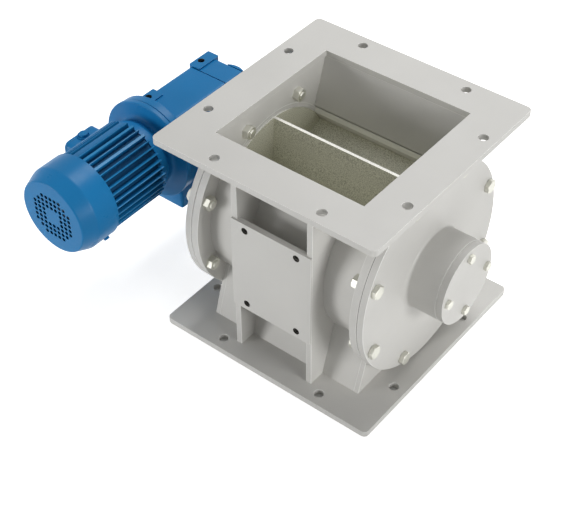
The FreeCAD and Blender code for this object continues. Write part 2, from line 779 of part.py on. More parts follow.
def gear_case():
    front_wall_y = WORM_BEARING_W - CASE_FRONT
    room = box(CASE_X0 + CASE_WALL, CASE_X1 - CASE_WALL, front_wall_y, tail_bearing_y(),
               CASE_Z0 + CASE_WALL, CASE_Z1 - PAD_HOLE_DEPTH)
    case = case_solid().cut(room)
    case = case.cut(rod_x(CASE_BEARING_R, CASE_X0, CASE_X1))
    case = case.cut(rod_y(WORM_BEARING_R, INPUT_FACE_Y, front_wall_y))
    case = case.cut(rod_y(WORM_TAIL_BEARING_R, tail_bearing_y(), CASE_BACK))
    top = CASE_Z1 + PAD_RAISE
    for x, y in pad_hole_places():
        case = case.cut(rod_z(PAD_HOLE_R, top - PAD_HOLE_DEPTH, top, x, y))
    for x, z in flange_screw_places():
        case = case.cut(rod_y(M8_HOLE_R, INPUT_FACE_Y, INPUT_SEAT_Y, x, z))
    for point, out in plug_places():
        depth = Vec(*out) * -CASE_WALL
        case = case.cut(Part.makeCylinder(PLUG_R, CASE_WALL, Vec(*point) + depth, Vec(*out)))
    return case


def gear_neck():
    """The flange and neck between the gear case and the valve's bearing housing."""
    neck = fused([rod_x(HOUSING_R, VALVE_END_X - NECK_FLANGE_T, VALVE_END_X),
                  rod_x(NECK_R, CASE_X1, VALVE_END_X)])
    neck = neck.cut(rod_x(HOLLOW_R + NECK_BORE_GAP, CASE_X1, VALVE_END_X))
    for y, z in cap_bolt_places():
        neck = neck.cut(rod_x(M8_HOLE_R, VALVE_END_X - NECK_FLANGE_T, VALVE_END_X, y, z))
    return neck


def side_cover():
    return rod_x(SIDE_COVER_R, CASE_X0 - SIDE_COVER_T, CASE_X0)


def case_bearings():
    pairs = [plain_rings("x", x, CASE_BEARING_W, HOLLOW_R, CASE_BEARING_R, CASE_BEARING_RING)
             for x in (shaft_end_x(), CASE_X1 - CASE_BEARING_W)]
    return [outer for outer, inner in pairs], [inner for outer, inner in pairs]


def worm_bearings():
    front = plain_rings("y", -CASE_FRONT, WORM_BEARING_W, WORM_JOURNAL_R, WORM_BEARING_R, WORM_BEARING_RING)
    tail = plain_rings("y", tail_bearing_y(), WORM_TAIL_BEARING_W, WORM_TAIL_R, WORM_TAIL_BEARING_R,
                       WORM_BEARING_RING)
    return [front[0], tail[0]], [front[1], tail[1]]


def worm_cap():
    return rod_y(WORM_CAP_R, CASE_BACK, CASE_BACK + WORM_CAP_T)


def worm_thread():
    """The worm's thread: a rack tooth swept along a helix, with a gap facing the wheel's top tooth."""
    lead = math.pi * GEAR_MODULE
    lean = math.tan(math.radians(PRESSURE_DEG))
    half = lead / 4 - BACKLASH / 2
    sunk = TOOTH_FOOT + THREAD_SUNK
    helix = Part.makeHelix(lead, WORM_LENGTH, WORM_PITCH_R)
    section = [Vec(WORM_PITCH_R - sunk, 0, -half - sunk * lean),
               Vec(WORM_PITCH_R + TOOTH_HEAD, 0, -half + TOOTH_HEAD * lean),
               Vec(WORM_PITCH_R + TOOTH_HEAD, 0, half - TOOTH_HEAD * lean),
               Vec(WORM_PITCH_R - sunk, 0, half + sunk * lean)]
    profile = Part.makePolygon(section + section[:1])
    thread = Part.Wire(helix).makePipeShell([profile], True, True)
    thread.rotate(Vec(0, 0, 0), ALONG_Z, worm_phase())
    thread.translate(Vec(0, 0, -WORM_LENGTH / 2))
    thread.rotate(Vec(0, 0, 0), ALONG_X, -90)
    thread.translate(Vec(WHEEL_X, 0, MOTOR_Z))
    return thread


def worm_phase():
    """The turn that brings the middle of a gap of the thread to the wheel's top tooth."""
    lead = math.pi * GEAR_MODULE
    return 90 - 360 * (WORM_LENGTH / (2 * lead) + 0.5)


def worm_shaft():
    front_y = INPUT_FACE_Y + SHAFT_TIP_GAP / 2
    journal_end = WORM_BEARING_W - CASE_FRONT + WORM_JOURNAL_PAST
    shaft = fused([rod_y(WORM_JOURNAL_R, front_y, journal_end),
                   rod_y(WORM_PITCH_R - TOOTH_FOOT, WORM_BEARING_W - CASE_FRONT, tail_bearing_y()),
                   rod_y(WORM_TAIL_R, tail_bearing_y(), CASE_BACK - SHAFT_TIP_GAP)])
    shaft = shaft.cut(rod_y(MOTOR_STUB_R, front_y, front_y + MOTOR_STUB_LENGTH))
    return shaft.fuse(worm_thread())


def plug_places():
    """Where the oil plugs sit: below, on the far side and on the end face, each with its direction."""
    side_y = CASE_BACK - CASE_BAND / 2
    return [((WHEEL_X, side_y / 2, CASE_Z0), (0, 0, -1)), ((CASE_X0, side_y, AXIS_Z), (-1, 0, 0)),
            ((WHEEL_X, CASE_BACK, (AXIS_Z + CASE_Z0) / 2), (0, 1, 0))]


def oil_plugs():
    blank = screw(PLUG_FLATS, PLUG_HEAD, PLUG_R, CASE_WALL)
    return [placed(blank, point, out) for point, out in plug_places()]


# Motor

def flange_screw_places():
    """The four screws sit closer to the horizontal, so that their heads clear the gear case."""
    tilt = FLANGE_SCREW_TILT_DEG
    radius = MOTOR_FLANGE_R - FLANGE_SCREW_INSET
    return [polar_y(radius, degrees) for degrees in (tilt, 180 - tilt, 180 + tilt, -tilt)]


def swept(start, corner, end, steps):
    """Points on a hollow curve that leaves the start towards the corner and arrives at the end from it."""
    points = []
    for k in range(steps + 1):
        t = k / steps
        points.append(tuple(start[i] * (1 - t) ** 2 + corner[i] * 2 * t * (1 - t) + end[i] * t ** 2
                            for i in (0, 1)))
    return points


def motor_flange():
    """The drive end shield: the flange against the gear case, a neck and the seat of the frame."""
    seat_y = FRAME_FRONT_Y + SHIELD_T
    outline = [(INPUT_FACE_Y, MOTOR_FLANGE_R), (MOTOR_BACK_Y, MOTOR_FLANGE_R)]
    outline += swept((MOTOR_BACK_Y, MOTOR_NECK_ROOT_R), (MOTOR_BACK_Y, MOTOR_NECK_R), (seat_y, SHIELD_R),
                     MOTOR_NECK_STEPS)
    outline += [(FRAME_FRONT_Y, SHIELD_R), (FRAME_FRONT_Y, MOTOR_BEARING_R), (INPUT_FACE_Y, MOTOR_BEARING_R)]
    flange = revolve_y(outline)
    for x, z in flange_screw_places():
        flange = flange.cut(rod_y(M8_R, MOTOR_BACK_Y, INPUT_FACE_Y, x, z))
    return flange


def flange_screws():
    """The screws between the motor flange and the gear case, with their heads on the gear side."""
    blank = screw(M8_FLATS, M8_HEAD, M8_R, INPUT_SEAT_Y - MOTOR_BACK_Y)
    return [placed(blank, (x, INPUT_SEAT_Y, z), (0, 1, 0)) for x, z in flange_screw_places()]


def terminal_slab(x0, x1, inset=0.0):
    half = TERMINAL_HEIGHT / 2 - inset
    slab = box(x0, x1, TERMINAL_Y0 + inset, TERMINAL_Y1 - inset, MOTOR_Z - half, MOTOR_Z + half)
    lengthwise = [e for e in slab.Edges if e.BoundBox.XLength > 1]
    return slab.makeFillet(TERMINAL_CORNER_R - inset, lengthwise)


def frame_fin(degrees, thickness):
    fin = box(WHEEL_X + FRAME_R - ROOT_OVERLAP, WHEEL_X + FIN_R, FRAME_REAR_Y, FRAME_FRONT_Y,
              MOTOR_Z - thickness / 2, MOTOR_Z + thickness / 2)
    fin.rotate(Vec(WHEEL_X, 0, MOTOR_Z), ALONG_Y, -degrees)
    return fin


def frame_land():
    """A smooth raised land among the fins, on the upper side next to the terminal box."""
    corners = [Vec(WHEEL_X, FRAME_REAR_Y, MOTOR_Z)]
    for k in range(LAND_STEPS + 1):
        x, z = polar_y(LAND_R, LAND_FIRST_DEG + LAND_SWEEP_DEG * k / LAND_STEPS)
        corners.append(Vec(x, FRAME_REAR_Y, z))
    face = Part.Face(Part.makePolygon(corners + corners[:1]))
    return face.extrude(Vec(0, FRAME_LENGTH, 0))


def motor_frame():
    """The finned frame: a tube with fins all round and a seat for the terminal box."""
    tube = rod_y(FRAME_R, FRAME_REAR_Y, FRAME_FRONT_Y)
    last = LAND_FIRST_DEG + LAND_SWEEP_DEG
    fins = [frame_fin(degrees, STOUT_FIN_T) for degrees in STOUT_FIN_DEG]
    for k in range(FIN_COUNT):
        degrees = 360 * (k + 0.5) / FIN_COUNT
        if degrees not in STOUT_FIN_DEG and not LAND_FIRST_DEG < degrees < last:
            fins.append(frame_fin(degrees, FIN_T))
    shell = fused([tube, frame_land()] + fins)
    frame = shell.cut(terminal_slab(WHEEL_X - FIN_R - FIN_T, TERMINAL_SEAT_X))
    seat = terminal_slab(TERMINAL_SEAT_X, WHEEL_X, TERMINAL_SEAT_INSET)
    return fused([frame, seat]).cut(rod_y(FRAME_R - FRAME_WALL, FRAME_REAR_Y, FRAME_FRONT_Y))


def terminal_box():
    wall = TERMINAL_WALL
    room = terminal_slab(TERMINAL_X0, TERMINAL_SEAT_X - wall, wall)
    return terminal_slab(TERMINAL_X0, TERMINAL_SEAT_X).cut(room)


def terminal_lid():
    return terminal_slab(TERMINAL_X0 - LID_T, TERMINAL_X0)


def cable_gland():
    """A closed cable gland on top of the terminal box: a round collar and a low tapered plug."""
    x = (TERMINAL_X0 + TERMINAL_SEAT_X) / 2
    y = (TERMINAL_Y0 + TERMINAL_Y1) / 2
    z = MOTOR_Z + TERMINAL_HEIGHT / 2
    dome = Part.makeCone(GLAND_R, GLAND_TOP_R, GLAND_HEIGHT, Vec(x, y, z), ALONG_Z)
    return rod_z(GLAND_COLLAR_R, z, z + GLAND_COLLAR_T, x, y).fuse(dome)


def stator_core():
    return ring_y(FRAME_R - FRAME_WALL, STATOR_BORE_R, STATOR_REAR_Y, STATOR_FRONT_Y)


def stator_windings():
    outer = FRAME_R - FRAME_WALL - WINDING_INSET
    inner = STATOR_BORE_R + WINDING_INSET
    return [ring_y(outer, inner, STATOR_FRONT_Y, STATOR_FRONT_Y + WINDING_OVERHANG),
            ring_y(outer, inner, STATOR_REAR_Y - WINDING_OVERHANG, STATOR_REAR_Y)]


def motor_core():
    return ring_y(STATOR_BORE_R - AIR_GAP, MOTOR_SHAFT_R, STATOR_REAR_Y, STATOR_FRONT_Y)


def motor_bearings():
    pairs = [plain_rings("y", y, MOTOR_BEARING_W, MOTOR_SHAFT_R, MOTOR_BEARING_R, MOTOR_BEARING_RING)
             for y in (MOTOR_BACK_Y - MOTOR_BEARING_W, REAR_SEAT_Y)]
    return [outer for outer, inner in pairs], [inner for outer, inner in pairs]


def rear_shield():
    boss_y = REAR_SEAT_Y + MOTOR_BEARING_W
    shield = fused([rod_y(FRAME_R, SHIELD_END_Y, FRAME_REAR_Y),
                    rod_y(MOTOR_BEARING_R + REAR_BOSS_WALL, SHIELD_END_Y, boss_y)])
    shield = shield.cut(rod_y(MOTOR_BEARING_R, REAR_SEAT_Y, boss_y))
    shield = shield.cut(rod_y(MOTOR_SHAFT_R + SHAFT_PASS_GAP, SHIELD_END_Y, boss_y))
    for shank in cowl_screw_shanks(0):
        shield = shield.cut(shank)
    return shield


def motor_shaft():
    return fused([rod_y(MOTOR_SHAFT_R, FAN_Y0, INPUT_FACE_Y),
                  rod_y(MOTOR_STUB_R, INPUT_FACE_Y, INPUT_FACE_Y + MOTOR_STUB_LENGTH)])


def motor_fan():
    hub = rod_y(FAN_HUB_R, FAN_Y0, FAN_Y1)
    plate = rod_y(FAN_R, FAN_Y1 - FAN_PLATE_T, FAN_Y1)
    blades = []
    for k in range(FAN_BLADES):
        blade = box(WHEEL_X + FAN_HUB_R - ROOT_OVERLAP, WHEEL_X + FAN_R - FAN_BLADE_T, FAN_Y0, FAN_Y1,
                    MOTOR_Z - FAN_BLADE_T / 2, MOTOR_Z + FAN_BLADE_T / 2)
        blade.rotate(Vec(WHEEL_X, 0, MOTOR_Z), ALONG_Y, 360 * k / FAN_BLADES)
        blades.append(blade)
    return fused([hub, plate] + blades).cut(rod_y(MOTOR_SHAFT_R, FAN_Y0, FAN_Y1))


def grille_places():
    """Holes on a square grid with its corners and its middle left blank."""
    reach = GRILLE_COUNT // 2
    places = []
    for row in range(-reach, reach + 1):
        for column in range(-reach, reach + 1):
            in_middle = max(abs(row), abs(column)) <= GRILLE_BLANK
            in_corner = abs(row) + abs(column) > GRILLE_CORNER
            if not in_middle and not in_corner:
                places.append((WHEEL_X + GRILLE_PITCH * column, MOTOR_Z + GRILLE_PITCH * row))
    return places


def cowl_bell(inset):
    """The solid bell of the cowl, drawn in from its outer surface by an inset."""
    end_y = COWL_END_Y + inset
    shoulder_y = COWL_END_Y + COWL_SHOULDER_LENGTH
    outline = [(COWL_RIM_Y, 0), (COWL_RIM_Y, COWL_R - inset), (shoulder_y, COWL_R - inset),
               (end_y, COWL_FACE_R - inset), (end_y, 0)]
    bell = revolve_y(outline)
    shoulder = [e for e in bell.Edges if ring_at(e, shoulder_y)]
    bell = bell.makeFillet(COWL_SHOULDER_FILLET - inset, shoulder)
    face = [e for e in bell.Edges if ring_at(e, end_y)]
    return bell.makeFillet(COWL_FACE_FILLET - inset, face)


def ring_at(edge, y):
    """True for a circular edge in the plane at y."""
    return edge.BoundBox.YLength < 1e-6 and abs(edge.BoundBox.YMin - y) < 1e-6


def fan_cowl():
    """A pressed sheet cowl: a cylinder, a sloping shoulder and a flat end with the air grille."""
    cowl = cowl_bell(0).cut(cowl_bell(COWL_WALL))
    holes = [rod_y(GRILLE_HOLE_R, COWL_END_Y, COWL_END_Y + COWL_WALL, x, z) for x, z in grille_places()]
    holes += cowl_screw_shanks(FIT_GAP)
    return cowl.cut(Part.makeCompound(holes))


def cowl_screw_places():
    """Each cowl screw's place on the cowl and its outward direction."""
    places = []
    for degrees in COWL_SCREW_DEG:
        x, z = polar_y(COWL_R, degrees)
        places.append(((x, REAR_SEAT_Y, z), (x - WHEEL_X, 0, z - MOTOR_Z)))
    return places


def cowl_screw_shanks(gap):
    length = COWL_R - FRAME_R + M5_IN_THREAD
    shank = Part.makeCylinder(M5_R + gap, length + COWL_WALL, Vec(0, 0, -length), ALONG_Z)
    return [placed(shank, point, out) for point, out in cowl_screw_places()]


def cowl_screws():
    blank = screw(M5_FLATS, M5_HEAD, M5_R, COWL_R - FRAME_R + M5_IN_THREAD)
    return [placed(blank, point, out) for point, out in cowl_screw_places()]


def save(name, shapes):
    """Write one node: a single solid, or a group of separate solids."""
    if not isinstance(shapes, list):
        shapes = [shapes]
    solids = [solid for shape in shapes for solid in shape.Solids]
    body = solids[0] if len(solids) == 1 else Part.makeCompound(solids)
    valid = all(solid.isValid() for solid in solids)
    print(f"{name:24s} solids {len(solids):3d} volume {sum(s.Volume for s in solids):12.1f} valid {valid}")
    body.exportStep(f"parts/{name}.step")


def build():
    os.makedirs("parts", exist_ok=True)
    save("inlet_flange", inlet_flange())
    save("outlet_flange", below(inlet_flange()))
    save("barrel", barrel())
    save("idle_end_flange", end_flange())
    save("drive_end_flange", mirror_x(end_flange()))
    save("inlet_side_plates", inlet_side_plates())
    save("outlet_side_plates", [below(plate) for plate in inlet_side_plates()])
    save("inlet_slope_plates", inlet_slope_plates())
    save("outlet_slope_plates", [below(plate) for plate in inlet_slope_plates()])
    save("front_ribs", rib_pair(True))
    save("back_ribs", rib_pair(False))
    save("front_panel", front_panel())
    save("panel_backing", panel_backing())
    save("cover_gaskets", [gasket(), mirror_x(gasket())])
    save("idle_end_cover", end_cover())
    save("drive_end_cover", mirror_x(end_cover()))
    save("cover_bolts", cover_bolts())
    save("cover_nuts", cover_nuts())
    save("idle_bearing_cap", end_cap())
    save("drive_bearing_cap", drive_cap())
    save("cap_bolts", cap_bolts())
    save("shaft_seals", [shaft_seal(), mirror_x(shaft_seal())])

    outer, inner, balls = main_bearing()
    save("bearing_outer_rings", [outer, mirror_x(outer)])
    save("bearing_inner_rings", [inner, mirror_x(inner)])
    save("bearing_balls", balls + [mirror_x(ball) for ball in balls])
    save("rotor_shaft", rotor_shaft())
    save("rotor_end_discs", [rotor_disc(), mirror_x(rotor_disc())])
    save("rotor_vanes", rotor_vanes())
    save("drive_key", key_room())
    save("hollow_output_shaft", hollow_shaft())
    save("worm_wheel", worm_wheel())
    save("shaft_retainer", shaft_retainer())

    case_outer, case_inner = case_bearings()
    worm_outer, worm_inner = worm_bearings()
    motor_outer, motor_inner = motor_bearings()
    save("gear_case", gear_case())
    save("gear_neck", gear_neck())
    save("neck_bolts", neck_bolts())
    save("gear_side_cover", side_cover())
    save("worm_bearing_cap", worm_cap())
    save("oil_plugs", oil_plugs())
    save("case_bearing_outers", case_outer + worm_outer)
    save("case_bearing_inners", case_inner)
    save("worm_bearing_inners", worm_inner)
    save("worm_shaft", worm_shaft())

    save("motor_flange", motor_flange())
    save("flange_screws", flange_screws())
    save("motor_frame", motor_frame())
    save("stator_core", stator_core())
    save("stator_windings", stator_windings())
    save("rear_end_shield", rear_shield())
    save("motor_bearing_outers", motor_outer)
    save("motor_bearing_inners", motor_inner)
    save("motor_shaft", motor_shaft())
    save("motor_rotor_core", motor_core())
    save("cooling_fan", motor_fan())
    save("fan_cowl", fan_cowl())
    save("cowl_screws", cowl_screws())
    save("terminal_box", terminal_box())
    save("terminal_lid", terminal_lid())
    save("cable_gland", cable_gland())


build()
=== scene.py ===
# %% [markdown]
# # A rotary airlock valve, dressed over its CAD frame
#
# The valve is a welded box of plates round a barrel, with a vaned rotor inside and a worm geared motor
# on one shaft end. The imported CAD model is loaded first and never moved. Each visible plate, casting and
# screw is then modelled again as a clean mesh with rounded edges, because light shows a metal part by the
# thin bright line on each edge, and the CAD triangles have no such line.

# %% Load the frame
import json
import math

import bmesh
import bpy
from mathutils import Matrix, Vector

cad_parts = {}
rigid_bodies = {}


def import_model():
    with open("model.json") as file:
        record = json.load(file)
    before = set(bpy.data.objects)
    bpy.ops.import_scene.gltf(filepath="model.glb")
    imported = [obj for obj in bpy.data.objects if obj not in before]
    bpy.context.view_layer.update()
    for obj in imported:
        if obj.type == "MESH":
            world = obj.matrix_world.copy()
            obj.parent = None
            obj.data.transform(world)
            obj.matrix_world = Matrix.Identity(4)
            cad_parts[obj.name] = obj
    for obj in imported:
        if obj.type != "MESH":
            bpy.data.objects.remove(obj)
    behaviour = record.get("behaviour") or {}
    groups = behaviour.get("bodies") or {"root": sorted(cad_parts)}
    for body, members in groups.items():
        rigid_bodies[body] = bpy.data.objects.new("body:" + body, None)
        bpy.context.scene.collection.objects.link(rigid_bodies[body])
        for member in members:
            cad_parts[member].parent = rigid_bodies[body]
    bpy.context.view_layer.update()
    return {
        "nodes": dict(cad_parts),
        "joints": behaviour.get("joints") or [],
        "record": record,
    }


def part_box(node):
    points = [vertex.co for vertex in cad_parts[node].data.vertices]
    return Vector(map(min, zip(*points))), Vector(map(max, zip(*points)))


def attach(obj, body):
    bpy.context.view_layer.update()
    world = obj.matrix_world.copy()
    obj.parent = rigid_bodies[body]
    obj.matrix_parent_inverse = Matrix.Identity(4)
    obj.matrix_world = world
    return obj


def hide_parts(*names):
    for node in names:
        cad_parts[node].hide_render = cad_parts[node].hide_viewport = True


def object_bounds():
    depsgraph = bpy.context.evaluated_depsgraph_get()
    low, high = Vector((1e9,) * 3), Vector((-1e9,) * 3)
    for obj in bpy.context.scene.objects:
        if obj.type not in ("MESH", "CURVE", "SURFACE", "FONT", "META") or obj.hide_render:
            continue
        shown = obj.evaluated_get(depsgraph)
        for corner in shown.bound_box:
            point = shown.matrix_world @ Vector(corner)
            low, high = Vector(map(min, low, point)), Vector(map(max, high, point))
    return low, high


for start_object in list(bpy.data.objects):
    bpy.data.objects.remove(start_object)
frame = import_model()

# %% [markdown]
# ## Measures
#
# Every size that the frame can give is read from it, so the dressing can't drift away from the model: the
# two axes from the joints, the bolt patterns from the mounts, and the rest from the boxes of the nodes.
# Only what no box tells, such as a bolt circle or a hole's radius, is written here, in metres.

# %% Read the measures from the frame
MM = 0.001
joints = {joint["name"]: joint for joint in frame["joints"]}
mounts = {mount["name"]: mount for mount in frame["record"]["mounts"]}
ROTOR_AXIS = Vector(joints["rotor_spin"]["pos_m"])
MOTOR_AXIS = Vector(joints["motor_spin"]["pos_m"])
AXIS_Z = ROTOR_AXIS.z
ROTOR_CENTRE = (0, AXIS_Z)
MOTOR_CENTRE = (MOTOR_AXIS.x, MOTOR_AXIS.z)
ORIGIN = Vector()


def low(node):
    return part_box(node)[0]


def high(node):
    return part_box(node)[1]


OPENING_HALF = 125 * MM
FLANGE_CORNER = 8 * MM
HOLE_R = mounts["inlet_bolts_sides"]["dims"]["hole_r_mm"] * MM
BARREL_R = high("barrel").y
BARREL_WALL = 6.7 * MM
BORE_R = BARREL_R - BARREL_WALL
SHAFT_HOLE_R = 21 * MM
SLOT_HALF = 100 * MM
COVER_BOLT_R = 150 * MM
COVER_BOLT_DEGREES = [22.5 + 45 * k for k in range(8)]
CAP_BOLT_R = 49 * MM
END_R = high("idle_end_flange").y
print("rotor axis", tuple(ROTOR_AXIS), "motor axis", tuple(MOTOR_AXIS))
print("barrel radius", round(BARREL_R, 4), "cover radius", round(END_R, 4))

# %% [markdown]
# ## Camera, light and floor
#
# The camera's place and turn were fitted to the corners and holes of both flanges in the photograph, so it
# is set from three angles and a place. The photograph has soft light on a white ground: a broad lamp
# overhead from behind, one from the right, a low one from the left front that leaves the nooks beside the
# panel dark, and a white world that fills the shadows a little.

# %% Camera
CAMERA_PLACE = Vector((0.8521, -1.1931, 1.4635))
CAMERA_AZIMUTH = math.radians(38.93)
CAMERA_ELEVATION = math.radians(43.23)
CAMERA_ROLL = math.radians(-0.56)
CAMERA_LENS = 84.98


def camera_turn(azimuth, elevation, roll):
    """The camera's axes as the columns of a matrix."""
    back = Vector((math.sin(azimuth) * math.cos(elevation), -math.cos(azimuth) * math.cos(elevation),
                   math.sin(elevation)))
    right = Vector((math.cos(azimuth), math.sin(azimuth), 0))
    up = back.cross(right)
    leaned_right = right * math.cos(roll) + up * math.sin(roll)
    leaned_up = up * math.cos(roll) - right * math.sin(roll)
    return Matrix((leaned_right, leaned_up, back)).transposed().to_4x4()


def add_object(name, data):
    """An object in the scene that holds a camera, a lamp or a mesh."""
    obj = bpy.data.objects.new(name, data)
    bpy.context.scene.collection.objects.link(obj)
    return obj


lens = bpy.data.cameras.new("camera")
lens.lens = CAMERA_LENS
camera = add_object("camera", lens)
camera.matrix_world = Matrix.Translation(CAMERA_PLACE) @ camera_turn(CAMERA_AZIMUTH, CAMERA_ELEVATION, CAMERA_ROLL)
bpy.context.scene.camera = camera
bpy.context.scene.view_settings.view_transform = "Standard"
print("camera at", [round(v, 3) for v in camera.matrix_world.translation])


# %% Lamps and the white world
def area_lamp(name, place, target, size, power):
    """A soft square lamp that looks at a target."""
    data = bpy.data.lights.new(name, "AREA")
    data.size = size
    data.energy = power
    lamp = add_object(name, data)
    lamp.location = place
    lamp.rotation_euler = (Vector(target) - Vector(place)).to_track_quat("-Z", "Y").to_euler()


middle = (0, 0, AXIS_Z)
area_lamp("overhead_lamp", (-0.3, 1.2, 2.5), middle, 1.1, 43)
area_lamp("right_lamp", (2.5, -0.25, 0.9), middle, 1.0, 32)
area_lamp("front_lamp", (-1.4, -2.25, 0.42), middle, 0.9, 31)


def add_node(tree, kind, feeds, operation=None):
    """A shader node whose inputs are linked to outputs or set to values."""
    node = tree.nodes.new("ShaderNode" + kind)
    if operation:
        node.operation = operation
    for socket, feed in feeds.items():
        if isinstance(feed, bpy.types.NodeSocket):
            tree.links.new(feed, node.inputs[socket])
        else:
            node.inputs[socket].default_value = feed
    return node


def combine(tree, operation, a, b):
    return add_node(tree, "Math", {0: a, 1: b}, operation).outputs[0]


def seen_ray(tree):
    """1 for the rays that show the ground behind the object: camera, glossy and transmission rays."""
    rays = add_node(tree, "LightPath", {}).outputs
    value = rays["Is Camera Ray"]
    for name in ("Is Glossy Ray", "Is Transmission Ray"):
        value = combine(tree, "MAXIMUM", value, rays[name])
    return value


ROOM_LIGHT = 0.18
world = bpy.data.worlds.new("white room")
bpy.context.scene.world = world
world.use_nodes = True
room = world.node_tree
room_level = add_node(room, "MapRange", {"Value": seen_ray(room), "To Min": ROOM_LIGHT})
background = room.nodes["Background"]
background.inputs["Color"].default_value = (1.0, 1.0, 1.0, 1)
room.links.new(room_level.outputs["Result"], background.inputs["Strength"])


# %% [markdown]
# ## Materials
#
# Each finish is a small node tree. All patterns read Object coordinates, so they sit still on the piece in
# every view, and their scales are in cycles per metre. Paint gets a faint orange peel and slightly uneven
# gloss, which is what keeps a painted plate from looking like plastic. A rounded edge gets a lighter paint
# of its own, which is a painted highlight along the edge.

# %% Helpers for node trees
class Finish:
    """A material with its shader node, and short ways to wire patterns into it."""

    def __init__(self, name, color, roughness, metallic=0.0, shine=0.5):
        self.material = bpy.data.materials.new(name)
        self.material.use_nodes = True
        self.material.diffuse_color = (*color, 1)
        self.tree = self.material.node_tree
        self.shader = self.tree.nodes["Principled BSDF"]
        for socket, value in (("Base Color", (*color, 1)), ("Roughness", roughness), ("Metallic", metallic),
                              ("Specular IOR Level", shine)):
            self.shader.inputs[socket].default_value = value
        self.place = add_node(self.tree, "TexCoord", {}).outputs["Object"]

    def noise(self, scale, detail=2.0):
        feeds = {"Vector": self.place, "Scale": scale, "Detail": detail}
        return add_node(self.tree, "TexNoise", feeds).outputs["Fac"]

    def ramp(self, value, stops):
        """Colours at places from 0 to 1 along a value."""
        node = add_node(self.tree, "ValToRGB", {"Fac": value})
        elements = node.color_ramp.elements
        while len(elements) < len(stops):
            elements.new(0.5)
        for element, (place, color) in zip(elements, stops):
            element.position = place
            element.color = (*color, 1)
        return node.outputs["Color"]

    def spread(self, value, low_value, high_value, start=0.3, end=0.7):
        """A pattern's middle range mapped to a low and a high value."""
        feeds = {"Value": value, "From Min": start, "From Max": end, "To Min": low_value, "To Max": high_value}
        return add_node(self.tree, "MapRange", feeds).outputs["Result"]

    def reach(self, centre, across):
        """How far a point lies from an axis through a centre; across masks the directions that count."""
        offset = add_node(self.tree, "VectorMath", {0: self.place, 1: centre}, "SUBTRACT").outputs["Vector"]
        flat = add_node(self.tree, "VectorMath", {0: offset, 1: across}, "MULTIPLY").outputs["Vector"]
        return add_node(self.tree, "VectorMath", {0: flat}, "LENGTH").outputs["Value"]

    def dress(self, color, gloss, relief):
        """Wires what ramp, spread and a bump are given for colour, roughness and relief."""
        pattern, distance = relief
        bump = add_node(self.tree, "Bump", {"Distance": distance, "Height": pattern})
        for socket, output in (("Base Color", self.ramp(*color)), ("Roughness", self.spread(*gloss)),
                               ("Normal", bump.outputs["Normal"])):
            self.tree.links.new(output, self.shader.inputs[socket])
        return self.material


def shade(color, factor):
    return tuple(min(1.0, channel * factor) for channel in color)


# %% [markdown]
# ### Paint, zinc and machined steel
#
# The casing wears a satin warm grey paint, the drive a glossy blue one, painted darker between the motor's
# fins as painted shade and lighter on their tips as a painted highlight. Screws are zinc plated with a slight
# straw tint. The rotor is bare cast steel with a fine speckle and machined vane tips painted bright, a painted
# highlight. The walls of open screw holes are bare steel painted dark, a painted shade.

# %% Finishes
def paint(name, color, roughness, peel, shine=0.5):
    """Sprayed paint: slow drifts of colour and gloss, and a fine peel of a given depth."""
    finish = Finish(name, color, roughness, shine=shine)
    return finish.dress((finish.noise(9, 3), [(0.3, shade(color, 0.965)), (0.7, shade(color, 1.02))]),
                        (finish.noise(35, 4), roughness - 0.05, roughness + 0.07), (finish.noise(420, 2), peel))


GREY = (0.63, 0.622, 0.595)
BLUE = (0.010, 0.190, 0.460)
COWL_BLUE = (0.012, 0.185, 0.440)
PEEL = 0.04 * MM
DRIVE_GLOSS = 0.36
DRIVE_SHINE = 0.16
casing_paint = paint("satin grey paint", GREY, 0.44, PEEL, 0.35)
drive_paint = paint("gloss blue paint", BLUE, DRIVE_GLOSS, PEEL, DRIVE_SHINE)
cowl_paint = paint("gloss blue sheet paint", COWL_BLUE, 0.32, PEEL / 4, 0.14)
# The two edge finishes are lighter paint for rounded edges: a painted highlight along each edge.
casing_edge_highlight = paint("grey paint with a painted edge highlight", (0.84, 0.835, 0.81), 0.34, PEEL / 2)
drive_edge_highlight = paint("blue paint with a painted edge highlight", (0.05, 0.30, 0.58), 0.32, PEEL / 2, 0.4)
EDGES = {casing_paint: casing_edge_highlight, drive_paint: drive_edge_highlight}


def fin_shade_and_highlight_paint(fin_root, fin_tip):
    """The drive's paint: dull, with painted shade between the fins and a painted highlight on their tips."""
    finish = Finish("gloss blue paint, painted shade between fins", BLUE, DRIVE_GLOSS, shine=DRIVE_SHINE)
    height = finish.spread(finish.reach(MOTOR_AXIS, (1, 0, 1)), 0.0, 1.0, fin_root, fin_tip)
    stops = [(0.0, shade(BLUE, 0.42)), (0.55, shade(BLUE, 0.75)), (0.93, BLUE), (1.0, (0.03, 0.25, 0.52))]
    return finish.dress((height, stops), (height, 0.6, 0.32, 0.0, 1.0), (finish.noise(420, 2), PEEL))


def plated(name, color, roughness, scale):
    finish = Finish(name, color, roughness, 0.7)
    cloud = finish.noise(scale, 3)
    return finish.dress((cloud, [(0.3, shade(color, 0.95)), (0.7, shade(color, 1.03))]),
                        (cloud, roughness - 0.03, roughness + 0.04), (finish.noise(500, 2), 0.004 * MM))


def speckled(name, dark, light, roughness, metallic, scale):
    """Bare cast metal: a grain about a millimetre across over slow stains."""
    finish = Finish(name, light, roughness, metallic)
    grain = finish.noise(scale, 5)
    return finish.dress((grain, [(0.36, dark), (0.5, shade(light, 0.86)), (0.66, light)]),
                        (finish.noise(40, 3), roughness - 0.06, roughness + 0.08), (grain, 0.12 * MM))


def plain(name, color, roughness, metallic=0.0, scale=300, grain=0.04 * MM):
    """A dull part such as rubber, plastic or a hidden machined piece, with a light grain."""
    finish = Finish(name, color, roughness, metallic)
    cloud = finish.noise(scale, 3)
    return finish.dress((cloud, [(0.35, shade(color, 0.85)), (0.65, shade(color, 1.1))]),
                        (cloud, roughness - 0.05, roughness + 0.05), (cloud, grain))


